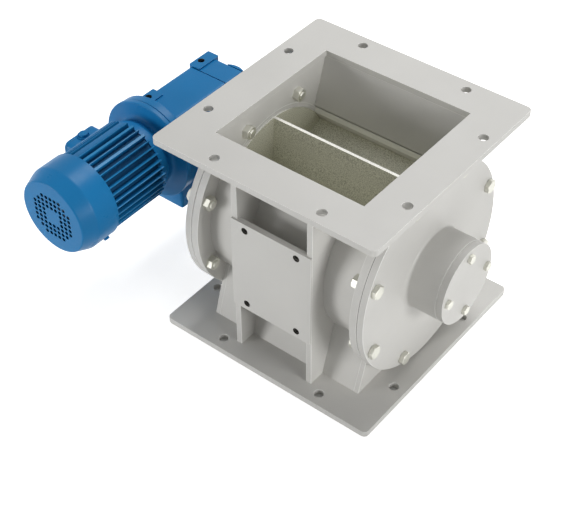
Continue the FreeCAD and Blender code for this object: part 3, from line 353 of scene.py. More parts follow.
zinc = plated("zinc plate", (0.70, 0.695, 0.625), 0.32, 120)
rotor_steel = speckled("speckled rotor steel", (0.33, 0.325, 0.25), (0.72, 0.715, 0.60), 0.55, 0.2, 760)
# Machined steel for the vane tips and disc rims, painted near white as a painted highlight.
machined_edge_highlight = plain("machined edge, painted highlight", (0.90, 0.89, 0.83), 0.40, 0.1, 500, 0.03 * MM)
bearing_steel = plain("ground steel", (0.60, 0.60, 0.60), 0.25, 0.9)
bronze = plain("wheel bronze", (0.58, 0.38, 0.15), 0.35, 0.85)
core_steel = plain("laminated steel", (0.30, 0.30, 0.32), 0.45, 0.7)
copper = plain("varnished copper", (0.50, 0.20, 0.07), 0.35, 0.6)
gasket_grey = plain("gasket", (0.27, 0.265, 0.25), 0.75)
# Bare steel for hole walls, painted nearly black as the shade inside the holes.
hole_shade_steel = plain("bare steel with painted shade in a hole", (0.10, 0.095, 0.085), 0.6, 0.3)
rubber = plain("seal rubber", (0.03, 0.03, 0.03), 0.7)
black_plastic = plain("black plastic", (0.035, 0.035, 0.04), 0.5)
print("finishes", len(bpy.data.materials))

# %% [markdown]
# ## Helpers for the meshes
#
# Most of a welded valve is flat plate, so one helper turns outlines into a plate of any thickness: the
# outer outline and its holes are filled at once and the fill is extruded. Everything turned is one profile
# and one spin. A Bevel modifier with hardened normals then rounds the edges by the same amount all round,
# and keeps the large faces flat to the light.


# %% Outlines
def on_circle(radius, degrees, centre):
    angle = math.radians(degrees)
    return centre[0] + radius * math.cos(angle), centre[1] + radius * math.sin(angle)


def arc(centre, radius, start, end, steps):
    """Points on an arc in the drawing plane, in degrees."""
    return [on_circle(radius, start + (end - start) * k / steps, centre) for k in range(steps + 1)]


def circle(centre, radius, steps=32):
    return arc(centre, radius, 0, 360, steps)[:-1]


def rounded_rectangle(u0, u1, v0, v1, radius, steps=6):
    corners = ((u1 - radius, v1 - radius, 0), (u0 + radius, v1 - radius, 90),
               (u0 + radius, v0 + radius, 180), (u1 - radius, v0 + radius, 270))
    points = []
    for u, v, start in corners:
        points += arc((u, v), radius, start, start + 90, steps)
    return points


# %% Plates and turned pieces
AXIS_VECTORS = {"x": Vector((1, 0, 0)), "y": Vector((0, 1, 0)), "z": Vector((0, 0, 1))}


def lift(point, axis, along):
    """A drawing point (u, v) put into space, at a place along the axis that the plate is thick in."""
    u, v = point
    return {"x": Vector((along, u, v)), "y": Vector((u, along, v)), "z": Vector((u, v, along))}[axis]


def add_fill(bm, axis, along, outlines, normal):
    """Fills an outer outline and its holes. Gives the outer outline's edges, and the faces."""
    rings = []
    for outline in outlines:
        verts = [bm.verts.new(lift(point, axis, along)) for point in outline]
        rings.append([bm.edges.new(pair) for pair in zip(verts, verts[1:] + verts[:1])])
    fill = bmesh.ops.triangle_fill(bm, use_beauty=True, edges=sum(rings, []), normal=normal)
    return rings[0], [item for item in fill["geom"] if isinstance(item, bmesh.types.BMFace)]


def add_plate(bm, axis, start, end, outer, holes=()):
    """A plate between two places on an axis, with an outer outline and any holes."""
    faces = add_fill(bm, axis, start, (outer, *holes), AXIS_VECTORS[axis])[1]
    raised = bmesh.ops.extrude_face_region(bm, geom=faces, use_keep_orig=True)
    verts = [item for item in raised["geom"] if isinstance(item, bmesh.types.BMVert)]
    bmesh.ops.translate(bm, verts=verts, vec=AXIS_VECTORS[axis] * (end - start))
    return bm


def add_turned(bm, axis, centre, profile, steps):
    """A profile of (along, radius) points spun about an axis through a centre."""
    side = AXIS_VECTORS["y" if axis == "x" else "x"]
    direction = AXIS_VECTORS[axis]
    verts = [bm.verts.new(centre + direction * (along - centre.dot(direction)) + side * radius)
             for along, radius in profile]
    edges = [bm.edges.new(pair) for pair in zip(verts, verts[1:])]
    bmesh.ops.spin(bm, geom=verts + edges, cent=centre, axis=direction, angle=math.tau, steps=steps,
                   use_merge=True)
    return bm


def turned(axis, centre, profile, steps):
    return add_turned(bmesh.new(), axis, centre, profile, steps)


def rounded_profile(points, radius, steps=4):
    """A profile whose inner corners are rounded by arcs of a radius."""
    result = [points[0]]
    for before, corner, after in zip(points, points[1:], points[2:]):
        a = Vector(before) - Vector(corner)
        b = Vector(after) - Vector(corner)
        reach = min(radius, a.length * 0.49, b.length * 0.49)
        start = Vector(corner) + a.normalized() * reach
        end = Vector(corner) + b.normalized() * reach
        for k in range(steps + 1):
            t = k / steps
            point = start * (1 - t) ** 2 + Vector(corner) * 2 * t * (1 - t) + end * t ** 2
            result.append((point.x, point.y))
    result.append(points[-1])
    return result


# %% Finish a piece
def clean(bm):
    """Joined corners and faces that look outwards."""
    bmesh.ops.remove_doubles(bm, verts=bm.verts, dist=1e-6)
    bmesh.ops.recalc_face_normals(bm, faces=bm.faces)


def as_mesh(name, bm):
    """A mesh from a bmesh, which is used up."""
    mesh = bpy.data.meshes.new(name)
    bm.to_mesh(mesh)
    bm.free()
    return mesh


def piece(name, bm, body, material, node, bevel=0.0, segments=2, smooth=32, extra=()):
    """A named piece that rides on a body and replaces a node, its edges rounded by a bevel in millimetres."""
    clean(bm)
    mesh = as_mesh(name, bm)
    # The rounded edges of a painted piece get its lighter edge finish, a painted highlight.
    edge = [EDGES[material]] if bevel and material in EDGES else []
    for finish in (material, *extra, *edge):
        mesh.materials.append(finish)
    mesh.shade_smooth()
    mesh.set_sharp_from_angle(angle=math.radians(smooth))
    obj = add_object(name, mesh)
    if bevel:
        rounding = obj.modifiers.new("rounded edges", "BEVEL")
        rounding.width = bevel * MM
        rounding.segments = segments
        rounding.limit_method = "ANGLE"
        rounding.angle_limit = math.radians(40)
        rounding.harden_normals = True
        rounding.material = len(mesh.materials) - 1 if edge else -1
    else:
        obj.modifiers.new("flat faces stay flat", "WEIGHTED_NORMAL").keep_sharp = True
    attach(obj, body)
    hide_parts(node)
    print(f"{name}: {len(mesh.polygons)} faces")
    return obj


def casing(name, bm, node, bevel, segments=2, extra=()):
    """A painted piece of the valve's casing."""
    return piece(name, bm, "housing", casing_paint, node, bevel, segments, extra=extra)


def drive(name, bm, node, bevel=0.0, segments=2, smooth=32, extra=()):
    """A painted piece of the gear unit or the motor."""
    return piece(name, bm, "housing", drive_paint, node, bevel, segments, smooth, extra)


def zinc_heads(name, bm, node):
    """Screw heads or nuts, whose own chamfers are all the rounding they need."""
    return piece(name, bm, "housing", zinc, node, smooth=28)


def second_finish(obj, chosen):
    """Gives the faces that a test picks by their corners the piece's second finish."""
    count = 0
    for face in obj.data.polygons:
        if chosen([obj.data.vertices[i].co for i in face.vertices]):
            face.material_index = 1
            count += 1
    print(f"{obj.name}: {count} faces in {obj.data.materials[1].name}")


HOLE_ROOM = 0.2 * MM


def shade_hole_walls(obj, axes, centres, radius):
    """Gives the walls of round holes the piece's second finish, bare steel painted dark as shade."""
    def in_hole(corners):
        flat = [Vector((co[axes[0]], co[axes[1]])) for co in corners]
        return any(all((point - Vector(centre)).length < radius + HOLE_ROOM for point in flat)
                   for centre in centres)
    second_finish(obj, in_hole)


def mirrored(bm, axis=0, middle=0.0):
    """A shape for the +X side mirrored for the drive side, or one for the inlet mirrored for the outlet."""
    for vert in bm.verts:
        vert.co[axis] = 2 * middle - vert.co[axis]
    return bm


TOP_AND_BOTTOM = (("inlet", lambda bm: bm), ("outlet", lambda bm: mirrored(bm, 2, AXIS_Z)))
BOTH_ENDS = (("idle", lambda bm: bm), ("drive", mirrored))


# %% [markdown]
# ## Flanges
#
# Each flange is a burnt-out plate with rounded corners, a square opening and eight holes. A boolean could
# cut them from a box, but filling the outlines in one go gives the same plate with no stray edges.

# %% Flanges
def four_holes(name, middle_v=0.0):
    """The centres of a mount's four holes in the drawing plane."""
    dims = mounts[name]["dims"]
    u, v = dims["spacing_x_mm"] * MM / 2, dims["spacing_y_mm"] * MM / 2
    return [(su * u, middle_v + sv * v) for su in (-1, 1) for sv in (-1, 1)]


def flange(node):
    lo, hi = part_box(node)
    holes = [circle(centre, HOLE_R) for name in ("inlet_bolts_front_back", "inlet_bolts_sides")
             for centre in four_holes(name)]
    outline = rounded_rectangle(lo.x, hi.x, lo.y, hi.y, FLANGE_CORNER)
    opening = [(su * OPENING_HALF, sv * OPENING_HALF) for su, sv in ((-1, -1), (1, -1), (1, 1), (-1, 1))]
    return add_plate(bmesh.new(), "z", lo.z, hi.z, outline, [opening] + holes)


for node in ("inlet_flange", "outlet_flange"):
    casing(node + "_plate", flange(node), node, bevel=0.8)

# %% [markdown]
# ## Barrel and chutes
#
# The barrel is a rolled tube whose top and bottom are cut away to the rotor. The cut is square to the
# chutes, so it is made as a workshop would: a full tube, and a box taken out of it with a boolean. The
# chute plates end on the barrel, so their outlines follow its circle. The barrel's cut edges get the lighter
# edge paint, a painted highlight, and the sloping plates leave a fine open seam above them, which looks dark.

# %% Barrel with its slots
def carved(bm, cutter):
    """The first solid with the second taken out of it."""
    objects = []
    for name, source in (("solid", bm), ("cutter", cutter)):
        clean(source)
        objects.append(add_object(name, as_mesh(name, source)))
    solid, tool = objects
    cut = solid.modifiers.new("cut", "BOOLEAN")
    cut.operation = "DIFFERENCE"
    cut.solver = "EXACT"
    cut.object = tool
    shape = solid.evaluated_get(bpy.context.evaluated_depsgraph_get()).to_mesh()
    result = bmesh.new()
    result.from_mesh(shape)
    for obj in objects:
        bpy.data.objects.remove(obj)
    return result


def box_between(lo, hi):
    bm = bmesh.new()
    size = Vector(hi) - Vector(lo)
    centre = (Vector(hi) + Vector(lo)) / 2
    bmesh.ops.create_cube(bm, size=1, matrix=Matrix.Translation(centre) @ Matrix.Diagonal((*size, 1)))
    return bm


def tube_profile(x0, x1, inner, outer):
    return [(x0, inner), (x0, outer), (x1, outer), (x1, inner), (x0, inner)]


TUBE_STEPS = 144
CHUTE_T = 8 * MM
CHUTE_SIDE_X = high("inlet_side_plates").x - CHUTE_T
CUT_EDGE_ROOM = 0.1 * MM
barrel_tube = tube_profile(low("barrel").x, high("barrel").x, BORE_R, BARREL_R)
barrel = turned("x", ROTOR_AXIS, barrel_tube, TUBE_STEPS)
CUT_Z0, CUT_Z1 = -0.1, 0.5
slot_cut = box_between((-CHUTE_SIDE_X, -SLOT_HALF, CUT_Z0), (CHUTE_SIDE_X, SLOT_HALF, CUT_Z1))
barrel_piece = casing("barrel_shell", carved(barrel, slot_cut), "barrel", bevel=1.1)
# The slot's cut faces get the lighter edge finish, a painted highlight.
second_finish(barrel_piece, lambda corners: all(abs(abs(co.y) - SLOT_HALF) < CUT_EDGE_ROOM for co in corners))


# %% Chute plates
CHUTE_TOP = low("inlet_flange").z
CHUTE_OUTER = high("inlet_slope_plates").y
SLOPE_FOOT_Z = AXIS_Z + math.sqrt(BARREL_R ** 2 - SLOT_HALF ** 2)
SLOPE = (OPENING_HALF - SLOT_HALF) / (CHUTE_TOP - SLOPE_FOOT_Z)


def slope_meets_barrel(half_at_top):
    """The angle about the rotor axis at which a slope, known by its half width on top, meets the barrel."""
    foot = half_at_top - SLOPE * (CHUTE_TOP - AXIS_Z)
    a = 1 + SLOPE ** 2
    b = foot * SLOPE
    rise = (-b + math.sqrt(b ** 2 - a * (foot ** 2 - BARREL_R ** 2))) / a
    return math.degrees(math.atan2(rise, foot + SLOPE * rise))


OUTER_MEETS = slope_meets_barrel(CHUTE_OUTER)
INNER_MEETS = slope_meets_barrel(OPENING_HALF)
print("the chute meets the barrel at", round(OUTER_MEETS, 1), "and", round(INNER_MEETS, 1), "degrees")


def pair_of_plates(inner_x, thickness, outline):
    """Two upright plates of one outline, left and right of the middle."""
    bm = bmesh.new()
    for x in (-inner_x - thickness, inner_x):
        add_plate(bm, "x", x, x + thickness, outline)
    return bm


def side_plates():
    """The two upright chute plates, arched over the barrel."""
    arch = arc(ROTOR_CENTRE, BARREL_R, OUTER_MEETS, 180 - OUTER_MEETS, 40)
    outline = [(-CHUTE_OUTER, CHUTE_TOP), (CHUTE_OUTER, CHUTE_TOP)] + arch
    return pair_of_plates(CHUTE_SIDE_X, CHUTE_T, outline)


SEAM_HEIGHT = 2.2 * MM
SEAM_DEPTH = 3.5 * MM


def slope_plates():
    """The two sloping chute plates, each ending on the barrel with a dark open seam on its inner side."""
    bm = bmesh.new()
    foot = arc(ROTOR_CENTRE, BARREL_R, OUTER_MEETS, INNER_MEETS - math.degrees(SEAM_DEPTH / BARREL_R), 4)
    foot.append((SLOT_HALF + SLOPE * SEAM_HEIGHT, SLOPE_FOOT_Z + SEAM_HEIGHT))
    outline = [(OPENING_HALF, CHUTE_TOP), (CHUTE_OUTER, CHUTE_TOP)] + foot
    for side in (1, -1):
        add_plate(bm, "x", -CHUTE_SIDE_X, CHUTE_SIDE_X, [(side * u, v) for u, v in outline])
    return bm


for end, turn in TOP_AND_BOTTOM:
    casing(f"{end}_side_walls", turn(side_plates()), f"{end}_side_plates", bevel=0.5)
    casing(f"{end}_slope_walls", turn(slope_plates()), f"{end}_slope_plates", bevel=0.3)

# %% [markdown]
# ## Ribs and the front panel
#
# Two ribs on each side run from flange to flange. Their back edge follows the chutes and the barrel, so
# the outline is built from the same angles. The front pair carries a thin panel with a thicker backing
# plate behind it, and both have four through holes.

# %% Ribs
RIB_T = 9.5 * MM


def rib_outline(front_y):
    """One rib in the YZ plane, from a front edge to the chutes and the barrel."""
    side = 1 if front_y > 0 else -1
    bottom = high("outlet_flange").z
    barrel_arc = arc(ROTOR_CENTRE, BARREL_R, OUTER_MEETS, -OUTER_MEETS, 24)
    outline = [(abs(front_y), CHUTE_TOP), (CHUTE_OUTER, CHUTE_TOP)] + barrel_arc
    outline += [(CHUTE_OUTER, bottom), (abs(front_y), bottom)]
    return [(side * u, v) for u, v in outline]


for node, front_y in (("front_ribs", low("front_ribs").y), ("back_ribs", high("back_ribs").y)):
    ribs = pair_of_plates(high(node).x - RIB_T, RIB_T, rib_outline(front_y))
    casing(node + "_plates", ribs, node, bevel=0.7)

# %% Panel and its backing
PANEL_HOLE_R = mounts["panel_holes"]["dims"]["hole_r_mm"] * MM
panel_holes = four_holes("panel_holes", mounts["panel_holes"]["pos_m"][2])
for node, corner in (("front_panel", 1.5 * MM), ("panel_backing", 0.5 * MM)):
    lo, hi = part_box(node)
    bm = add_plate(bmesh.new(), "y", lo.y, hi.y, rounded_rectangle(lo.x, hi.x, lo.z, hi.z, corner, 3),
                   [circle(centre, PANEL_HOLE_R, 28) for centre in panel_holes])
    # The hole walls get the dark finish, a painted shade.
    plate = casing(node + "_plate", bm, node, bevel=0.5, extra=[hole_shade_steel])
    shade_hole_walls(plate, (0, 2), panel_holes, PANEL_HOLE_R)

# %% [markdown]
# ## End flanges, gaskets and covers
#
# Each end of the barrel has a ring flange, a thin gasket and a cover cast in one with its bearing housing.
# The gasket stands back a little from the rims, which gives the thin dark joint line. The cover is one
# profile spun about the rotor axis, with the small root fillet that a casting has.

# %% End rings and gaskets
ring_lo, ring_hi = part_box("idle_end_flange")
GASKET_SETBACK = 1.2 * MM
for end, turn in BOTH_ENDS:
    ring = turned("x", ROTOR_AXIS, tube_profile(ring_lo.x, ring_hi.x, BORE_R, END_R), TUBE_STEPS)
    casing(f"{end}_end_flange_ring", turn(ring), f"{end}_end_flange", bevel=0.7)
gaskets = bmesh.new()
gasket_x0, gasket_x1 = ring_hi.x, high("cover_gaskets").x
for side in (1, -1):
    outline = tube_profile(side * gasket_x0, side * gasket_x1, BORE_R, END_R - GASKET_SETBACK)
    add_turned(gaskets, "x", ROTOR_AXIS, outline, TUBE_STEPS)
piece("gasket_rings", gaskets, "housing", gasket_grey, "cover_gaskets")


# %% End covers
COVER_T = 10.5 * MM
COVER_BACK_X = low("idle_end_cover").x
COVER_FACE_X = gasket_x1 + COVER_T
SPIGOT_R = BORE_R - 0.1 * MM
HOUSING_R = high("idle_bearing_cap").y
HOUSING_END_X = high("idle_end_cover").x
CAP_FACE_X = high("idle_bearing_cap").x
CAP_SEAT_R = 40 * MM
CAP_SEAT_DEPTH = 3 * MM
ROOT_FILLET = 4 * MM


def cover_casting():
    """A cover in one with its bearing housing: rim, root fillet, housing and the seat of the cap."""
    fillet = arc((COVER_FACE_X + ROOT_FILLET, HOUSING_R + ROOT_FILLET), ROOT_FILLET, 180, 270, 8)
    seat_x = HOUSING_END_X - CAP_SEAT_DEPTH
    profile = [(COVER_BACK_X, SHAFT_HOLE_R), (COVER_BACK_X, SPIGOT_R), (gasket_x1, SPIGOT_R), (gasket_x1, END_R),
               (COVER_FACE_X, END_R), *fillet, (HOUSING_END_X, HOUSING_R), (HOUSING_END_X, CAP_SEAT_R),
               (seat_x, CAP_SEAT_R), (seat_x, SHAFT_HOLE_R), (COVER_BACK_X, SHAFT_HOLE_R)]
    return turned("x", ROTOR_AXIS, profile, TUBE_STEPS)


for end, turn in BOTH_ENDS:
    casing(f"{end}_end_cover_casting", turn(cover_casting()), f"{end}_end_cover", bevel=0.8)


# %% Bearing caps
CAP_JOINT = 0.6 * MM


def cap_disc(bore):
    """A bearing cap that stands off its housing by a fine joint line."""
    x0 = HOUSING_END_X
    profile = [(x0, bore), (x0, HOUSING_R - CAP_JOINT), (x0 + CAP_JOINT, HOUSING_R - CAP_JOINT),
               (x0 + CAP_JOINT, HOUSING_R), (CAP_FACE_X, HOUSING_R), (CAP_FACE_X, bore)]
    if bore:
        profile.append(profile[0])
    return turned("x", ROTOR_AXIS, profile, 128)


casing("idle_cap", cap_disc(0.0), "idle_bearing_cap", bevel=1.2, segments=3)
casing("drive_cap", mirrored(cap_disc(SHAFT_HOLE_R)), "drive_bearing_cap", bevel=0.9, segments=3)

# %% [markdown]
# ## Hexagon screws and nuts
#
# A hexagon head is a hexagon bar whose corners are turned off by a 30 degree cone, which leaves the six
# curved shoulders that catch the light. Here the sides of a hexagon are divided, and each point of the top
# ring is lowered by how far it lies outside the flat circle, just as the cone would cut it. The heads are
# turned by uneven angles, because no hand stops two of them alike.

# %% A hexagon head
def stamp(bm, shape, place, direction, turn=0):
    """Adds a shape that stands on the origin to a mesh, at a place, along a direction, turned by degrees."""
    clean(shape)
    stand = Vector(direction).to_track_quat("Z", "Y").to_matrix().to_4x4() @ Matrix.Rotation(math.radians(turn), 4, "Z")
    bmesh.ops.transform(shape, matrix=Matrix.Translation(place) @ stand, verts=shape.verts[:])
    mesh = as_mesh("stamped", shape)
    bm.from_mesh(mesh)
    bpy.data.meshes.remove(mesh)


def drawn_on(shape, edges):
    """The open edges and corners that an extrusion of a ring of edges leads to."""
    made = bmesh.ops.extrude_edge_only(shape, edges=edges)["geom"]
    verts = {item for item in made if isinstance(item, bmesh.types.BMVert)}
    ring = [item for item in made if isinstance(item, bmesh.types.BMEdge) and set(item.verts) <= verts]
    return ring, verts


HEAD_FLAT_SHARE = 0.475
WASHER_SHARE = 0.49
WASHER_T = 0.8 * MM
THREAD_PITCH = 1.5 * MM
THREAD_DEPTH = 0.45 * THREAD_PITCH


def add_head(bm, flats, height, place, direction, turn):
    """A chamfered hexagon head on a place, standing along a direction."""
    head = bmesh.new()
    bmesh.ops.create_circle(head, radius=flats / math.sqrt(3), segments=6)
    bmesh.ops.subdivide_edges(head, edges=head.edges[:], cuts=5)
    bottom = head.edges[:]
    flat_r = flats * HEAD_FLAT_SHARE
    shoulder, corners = drawn_on(head, bottom)
    for vert in corners:
        vert.co.z = height - max(0.0, vert.co.xy.length - flat_r) * math.tan(math.radians(30))
    face_ring, corners = drawn_on(head, shoulder)
    for vert in corners:
        vert.co.xy = vert.co.xy.normalized() * flat_r
        vert.co.z = height
    bmesh.ops.contextual_create(head, geom=face_ring)
    bmesh.ops.contextual_create(head, geom=bottom)
    stamp(bm, head, place, direction, turn)


def add_bolt_head(bm, flats, height, place, direction, turn):
    """A head that stands on its own thin round washer face."""
    radius = flats * WASHER_SHARE
    washer = turned("z", ORIGIN, [(0, 0), (0, radius), (WASHER_T, radius), (WASHER_T, 0)], 32)
    stamp(bm, washer, place, direction)
    add_head(bm, flats, height - WASHER_T, place + direction * WASHER_T, direction, turn)


def add_stub(bm, radius, place, direction):
    """The end of a bolt: the last turn of its thread and a chamfered tip."""
    profile = [(0, radius), (THREAD_PITCH / 2, radius - THREAD_DEPTH), (THREAD_PITCH, radius),
               (THREAD_PITCH + THREAD_DEPTH, radius - THREAD_DEPTH), (THREAD_PITCH + THREAD_DEPTH, 0)]
    stamp(bm, turned("z", ORIGIN, profile, 24), place, direction)


# %% Cover bolts and their nuts
M12_FLATS = 19 * MM
M12_HEAD = 7.5 * MM
M12_NUT = 10 * MM
M12_R = 6 * MM
bolts = bmesh.new()
nuts = bmesh.new()
for k, degrees in enumerate(COVER_BOLT_DEGREES):
    y, z = on_circle(COVER_BOLT_R, degrees, ROTOR_CENTRE)
    through_chute = abs(z - AXIS_Z) > COVER_BOLT_R / 2
    nut_x = CHUTE_SIDE_X if through_chute else ring_lo.x
    for side in (1, -1):
        add_bolt_head(bolts, M12_FLATS, M12_HEAD, Vector((side * COVER_FACE_X, y, z)), Vector((side, 0, 0)),
                      17 * k + 6 * side)
        add_head(nuts, M12_FLATS, M12_NUT, (side * nut_x, y, z), (-side, 0, 0), 23 * k + 11)
        add_stub(bolts, M12_R, (side * (nut_x - M12_NUT), y, z), (-side, 0, 0))
zinc_heads("cover_screws", bolts, "cover_bolts")
zinc_heads("cover_screw_nuts", nuts, "cover_nuts")

# %% Cap bolts and the drive's neck bolts
M8_FLATS = 13 * MM
M8_HEAD = 5.5 * MM
NECK_FACE_X = low("neck_bolts").x + M8_HEAD
caps = bmesh.new()
necks = bmesh.new()
for k in range(4):
    y, z = on_circle(CAP_BOLT_R, 90 * k, ROTOR_CENTRE)
    add_bolt_head(caps, M8_FLATS, M8_HEAD, Vector((CAP_FACE_X, y, z)), AXIS_VECTORS["x"], 19 * k + 8)
    add_head(necks, M8_FLATS, M8_HEAD, (NECK_FACE_X, y, z), (-1, 0, 0), 31 * k)
zinc_heads("cap_screws", caps, "cap_bolts")
zinc_heads("neck_screws", necks, "neck_bolts")

# %% [markdown]
# ## Rotor
#
# Six vanes stand on a hub between two end discs. The casting is grey and speckled, but the vane tips and
# disc rims are machined to run close to the bore, and they are painted much lighter as a painted highlight.
# Both finishes sit on one mesh, and the tip faces get the second material by how far they lie from the axis.

# %% Vanes and discs
ROTOR_R = high("rotor_end_discs").z - AXIS_Z
DISC_INNER_X = high("rotor_vanes").x
DISC_OUTER_X = high("rotor_end_discs").x
HUB_R = 32 * MM
VANE_COUNT = 6
VANE_FIRST = 88.5
VANE_T = 5 * MM
VANE_ROOT_R = HUB_R - 2 * MM
TIP_HALF = math.degrees(VANE_T / 2 / ROTOR_R)
ROOT_HALF = math.degrees(VANE_T / 2 / VANE_ROOT_R)
RIM_ROOM = 0.4 * MM


def on_rim(corners):
    """True for a face that lies all along the rotor's largest radius."""
    return min((co - ROTOR_AXIS).yz.length for co in corners) > ROTOR_R - RIM_ROOM


vanes = bmesh.new()
for k in range(VANE_COUNT):
    middle = VANE_FIRST + 360 / VANE_COUNT * k
    outline = arc(ROTOR_CENTRE, ROTOR_R, middle - TIP_HALF, middle + TIP_HALF, 2)
    outline += arc(ROTOR_CENTRE, VANE_ROOT_R, middle + ROOT_HALF, middle - ROOT_HALF, 2)
    add_plate(vanes, "x", -DISC_INNER_X, DISC_INNER_X, outline)
discs = bmesh.new()
for side in (1, -1):
    disc_profile = tube_profile(side * DISC_INNER_X, side * DISC_OUTER_X, HUB_R, ROTOR_R)
    add_turned(discs, "x", ROTOR_AXIS, disc_profile, TUBE_STEPS)
# The rim faces get the near-white finish, a painted highlight.
for name, bm, node in (("rotor_vane_plates", vanes, "rotor_vanes"), ("rotor_discs", discs, "rotor_end_discs")):
    cast = piece(name, bm, "rotor", rotor_steel, node, extra=[machined_edge_highlight])
    second_finish(cast, on_rim)

# %% [markdown]
# ## Gear unit
#
# The gear case is a cast block, so its edges are soft. Its top carries two raised pads, a parting groove and
# a round boss at the valve's corner, and its front is a round input flange. A box with a wide bevel gives
# the soft edges, and one short boolean cuts the groove. The pads are plates with a hole in their outline.

# %% Gear case
CASE_EDGE = 5 * MM
CASE_HALF = 26 * MM
CASE_RISE = 68 * MM
PAD_RAISE = 2.5 * MM
PAD_SIDE = 2.5 * MM
PAD_END = 5 * MM
PAD_W = 21.5 * MM
PAD_DEEP = 20 * MM
PAD_CORNER = 2 * MM
PAD_HOLE_DEEP = 16 * MM
FRONT_PAD_END = 34 * MM
BAND = 42 * MM
GROOVE = 1.8 * MM
GROOVE_DEEP = 2.4 * MM
INPUT_DEPTH = 9 * MM
PAST = 10 * MM
case_lo, case_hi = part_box("gear_case")
INPUT_FACE_Y = high("motor_flange").y
CASE_FRONT_Y = INPUT_FACE_Y + INPUT_DEPTH
INPUT_SEAT_Y = CASE_FRONT_Y + CASE_EDGE
CASE_X0 = MOTOR_AXIS.x - CASE_HALF
CASE_X1 = low("gear_neck").x
CASE_Y1 = case_hi.y - PAD_END
CASE_TOP = MOTOR_AXIS.z + CASE_RISE
groove_y = CASE_Y1 - BAND
case = box_between((CASE_X0, CASE_FRONT_Y, case_lo.z), (CASE_X1, CASE_Y1, CASE_TOP))
bmesh.ops.bevel(case, geom=case.edges[:], offset=CASE_EDGE, affect="EDGES", segments=4, profile=0.5,
                material=-1)
cutter = box_between((CASE_X0 - PAST, groove_y, CASE_TOP - GROOVE_DEEP),
                     (CASE_X1 + PAST, groove_y + GROOVE, CASE_TOP + PAST))
pad_dims = mounts["gear_case_pad_holes"]["dims"]
pad_centre = Vector(mounts["gear_case_pad_holes"]["pos_m"])
PAD_HOLE_R = pad_dims["hole_r_mm"] * MM
pad_holes = [(pad_centre.x, pad_centre.y + side * pad_dims["spacing_y_mm"] * MM / 2) for side in (-1, 1)]
for centre in pad_holes:
    add_plate(cutter, "z", CASE_TOP - PAD_HOLE_DEEP, CASE_TOP + PAST, circle(centre, PAD_HOLE_R, 28))
drive("gear_case_block", carved(case, cutter), "gear_case", bevel=0.5)

# %% Pads and boss of the case
pads = bmesh.new()
pad_x0 = CASE_X0 - PAD_SIDE
for centre, y0, y1 in ((pad_holes[0], INPUT_SEAT_Y, CASE_FRONT_Y + FRONT_PAD_END),
                       (pad_holes[1], groove_y + GROOVE, case_hi.y)):
    pad_outline = rounded_rectangle(pad_x0, pad_x0 + PAD_W, y0, y1, PAD_CORNER, 4)
    add_plate(pads, "z", CASE_TOP - PAD_DEEP, CASE_TOP + PAD_RAISE, pad_outline, [circle(centre, PAD_HOLE_R, 28)])
# The pad holes' walls get the dark finish, a painted shade.
pads_piece = drive("gear_case_pads", pads, "gear_case", bevel=0.8, segments=3, extra=[hole_shade_steel])
shade_hole_walls(pads_piece, (0, 1), pad_holes, PAD_HOLE_R)
BOSS_R = 28 * MM
BOSS_INSET = 16 * MM
BOSS_REACH = 4 * MM
BOSS_DROP = 0.1 * MM
boss_centre = (CASE_X1 - BOSS_INSET, CASE_Y1 + BOSS_REACH - BOSS_R)
boss = add_plate(bmesh.new(), "z", CASE_TOP - PAD_DEEP, CASE_TOP - BOSS_DROP,
                 arc(boss_centre, BOSS_R, 55, 125, 24))
drive("gear_case_boss", boss, "gear_case", bevel=0.8, segments=3)

# %% Input flange, neck and covers
INPUT_R = 80 * MM
COLLAR_R = 60 * MM
COLLAR_END_Y = INPUT_SEAT_Y - 1 * MM
RIM_FACE_Y = INPUT_FACE_Y + 0.5 * MM
rim_profile = rounded_profile([(COLLAR_END_Y, 0), (COLLAR_END_Y, COLLAR_R), (INPUT_SEAT_Y, COLLAR_R),
                               (INPUT_SEAT_Y, INPUT_R), (RIM_FACE_Y, INPUT_R), (RIM_FACE_Y, 0)], 1.2 * MM)
drive("gear_input_rim", turned("y", MOTOR_AXIS, rim_profile, 128), "gear_case")

NECK_BORE_R = 24 * MM
NECK_WIDE_R = 42 * MM
NECK_NARROW_R = 40 * MM
NECK_FLANGE_T = 12 * MM
neck_lo, neck_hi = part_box("gear_neck")
neck_step_x = neck_hi.x - NECK_FLANGE_T
neck_profile = rounded_profile([(neck_hi.x, NECK_BORE_R), (neck_hi.x, HOUSING_R), (neck_step_x, HOUSING_R),
                                (neck_step_x, NECK_WIDE_R), (neck_lo.x, NECK_NARROW_R),
                                (neck_lo.x, NECK_BORE_R)], 2 * MM)
neck = turned("x", ROTOR_AXIS, neck_profile + [neck_profile[0]], 96)
drive("gear_neck_casting", neck, "gear_neck")
DISH_DEPTH, DISH_EDGE, DISH_FLOOR = 0.35, 0.8, 0.72


def cover_disc(axis, centre, along0, along1, radius):
    """A small pressed cover with a rounded rim and a shallow dish, as shares of its thickness and radius."""
    floor_along = along1 - (along1 - along0) * DISH_DEPTH
    profile = rounded_profile([(along0, 0), (along0, radius), (along1, radius), (along1, radius * DISH_EDGE),
                               (floor_along, radius * DISH_FLOOR), (floor_along, 0)], 1.0 * MM)
    return turned(axis, centre, profile, 72)


side_lo, side_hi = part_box("gear_side_cover")
drive("gear_side_cover_disc", cover_disc("x", ROTOR_AXIS, side_hi.x, side_lo.x, side_hi.y), "gear_side_cover")
worm_lo, worm_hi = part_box("worm_bearing_cap")
drive("worm_bearing_cap_disc", cover_disc("y", MOTOR_AXIS, worm_lo.y, worm_hi.y, worm_hi.x - MOTOR_AXIS.x),
      "worm_bearing_cap")

# %% [markdown]
# ## Motor
#
# The motor is turned work and a grille. The flange, the neck and the cowl's shoulder are profiles spun
# about the motor axis. The frame is a single outline with all its fins, drawn by a formula and pulled to
# length. The cowl's end starts as a filled disc with its holes, and its rim is drawn out step by step.

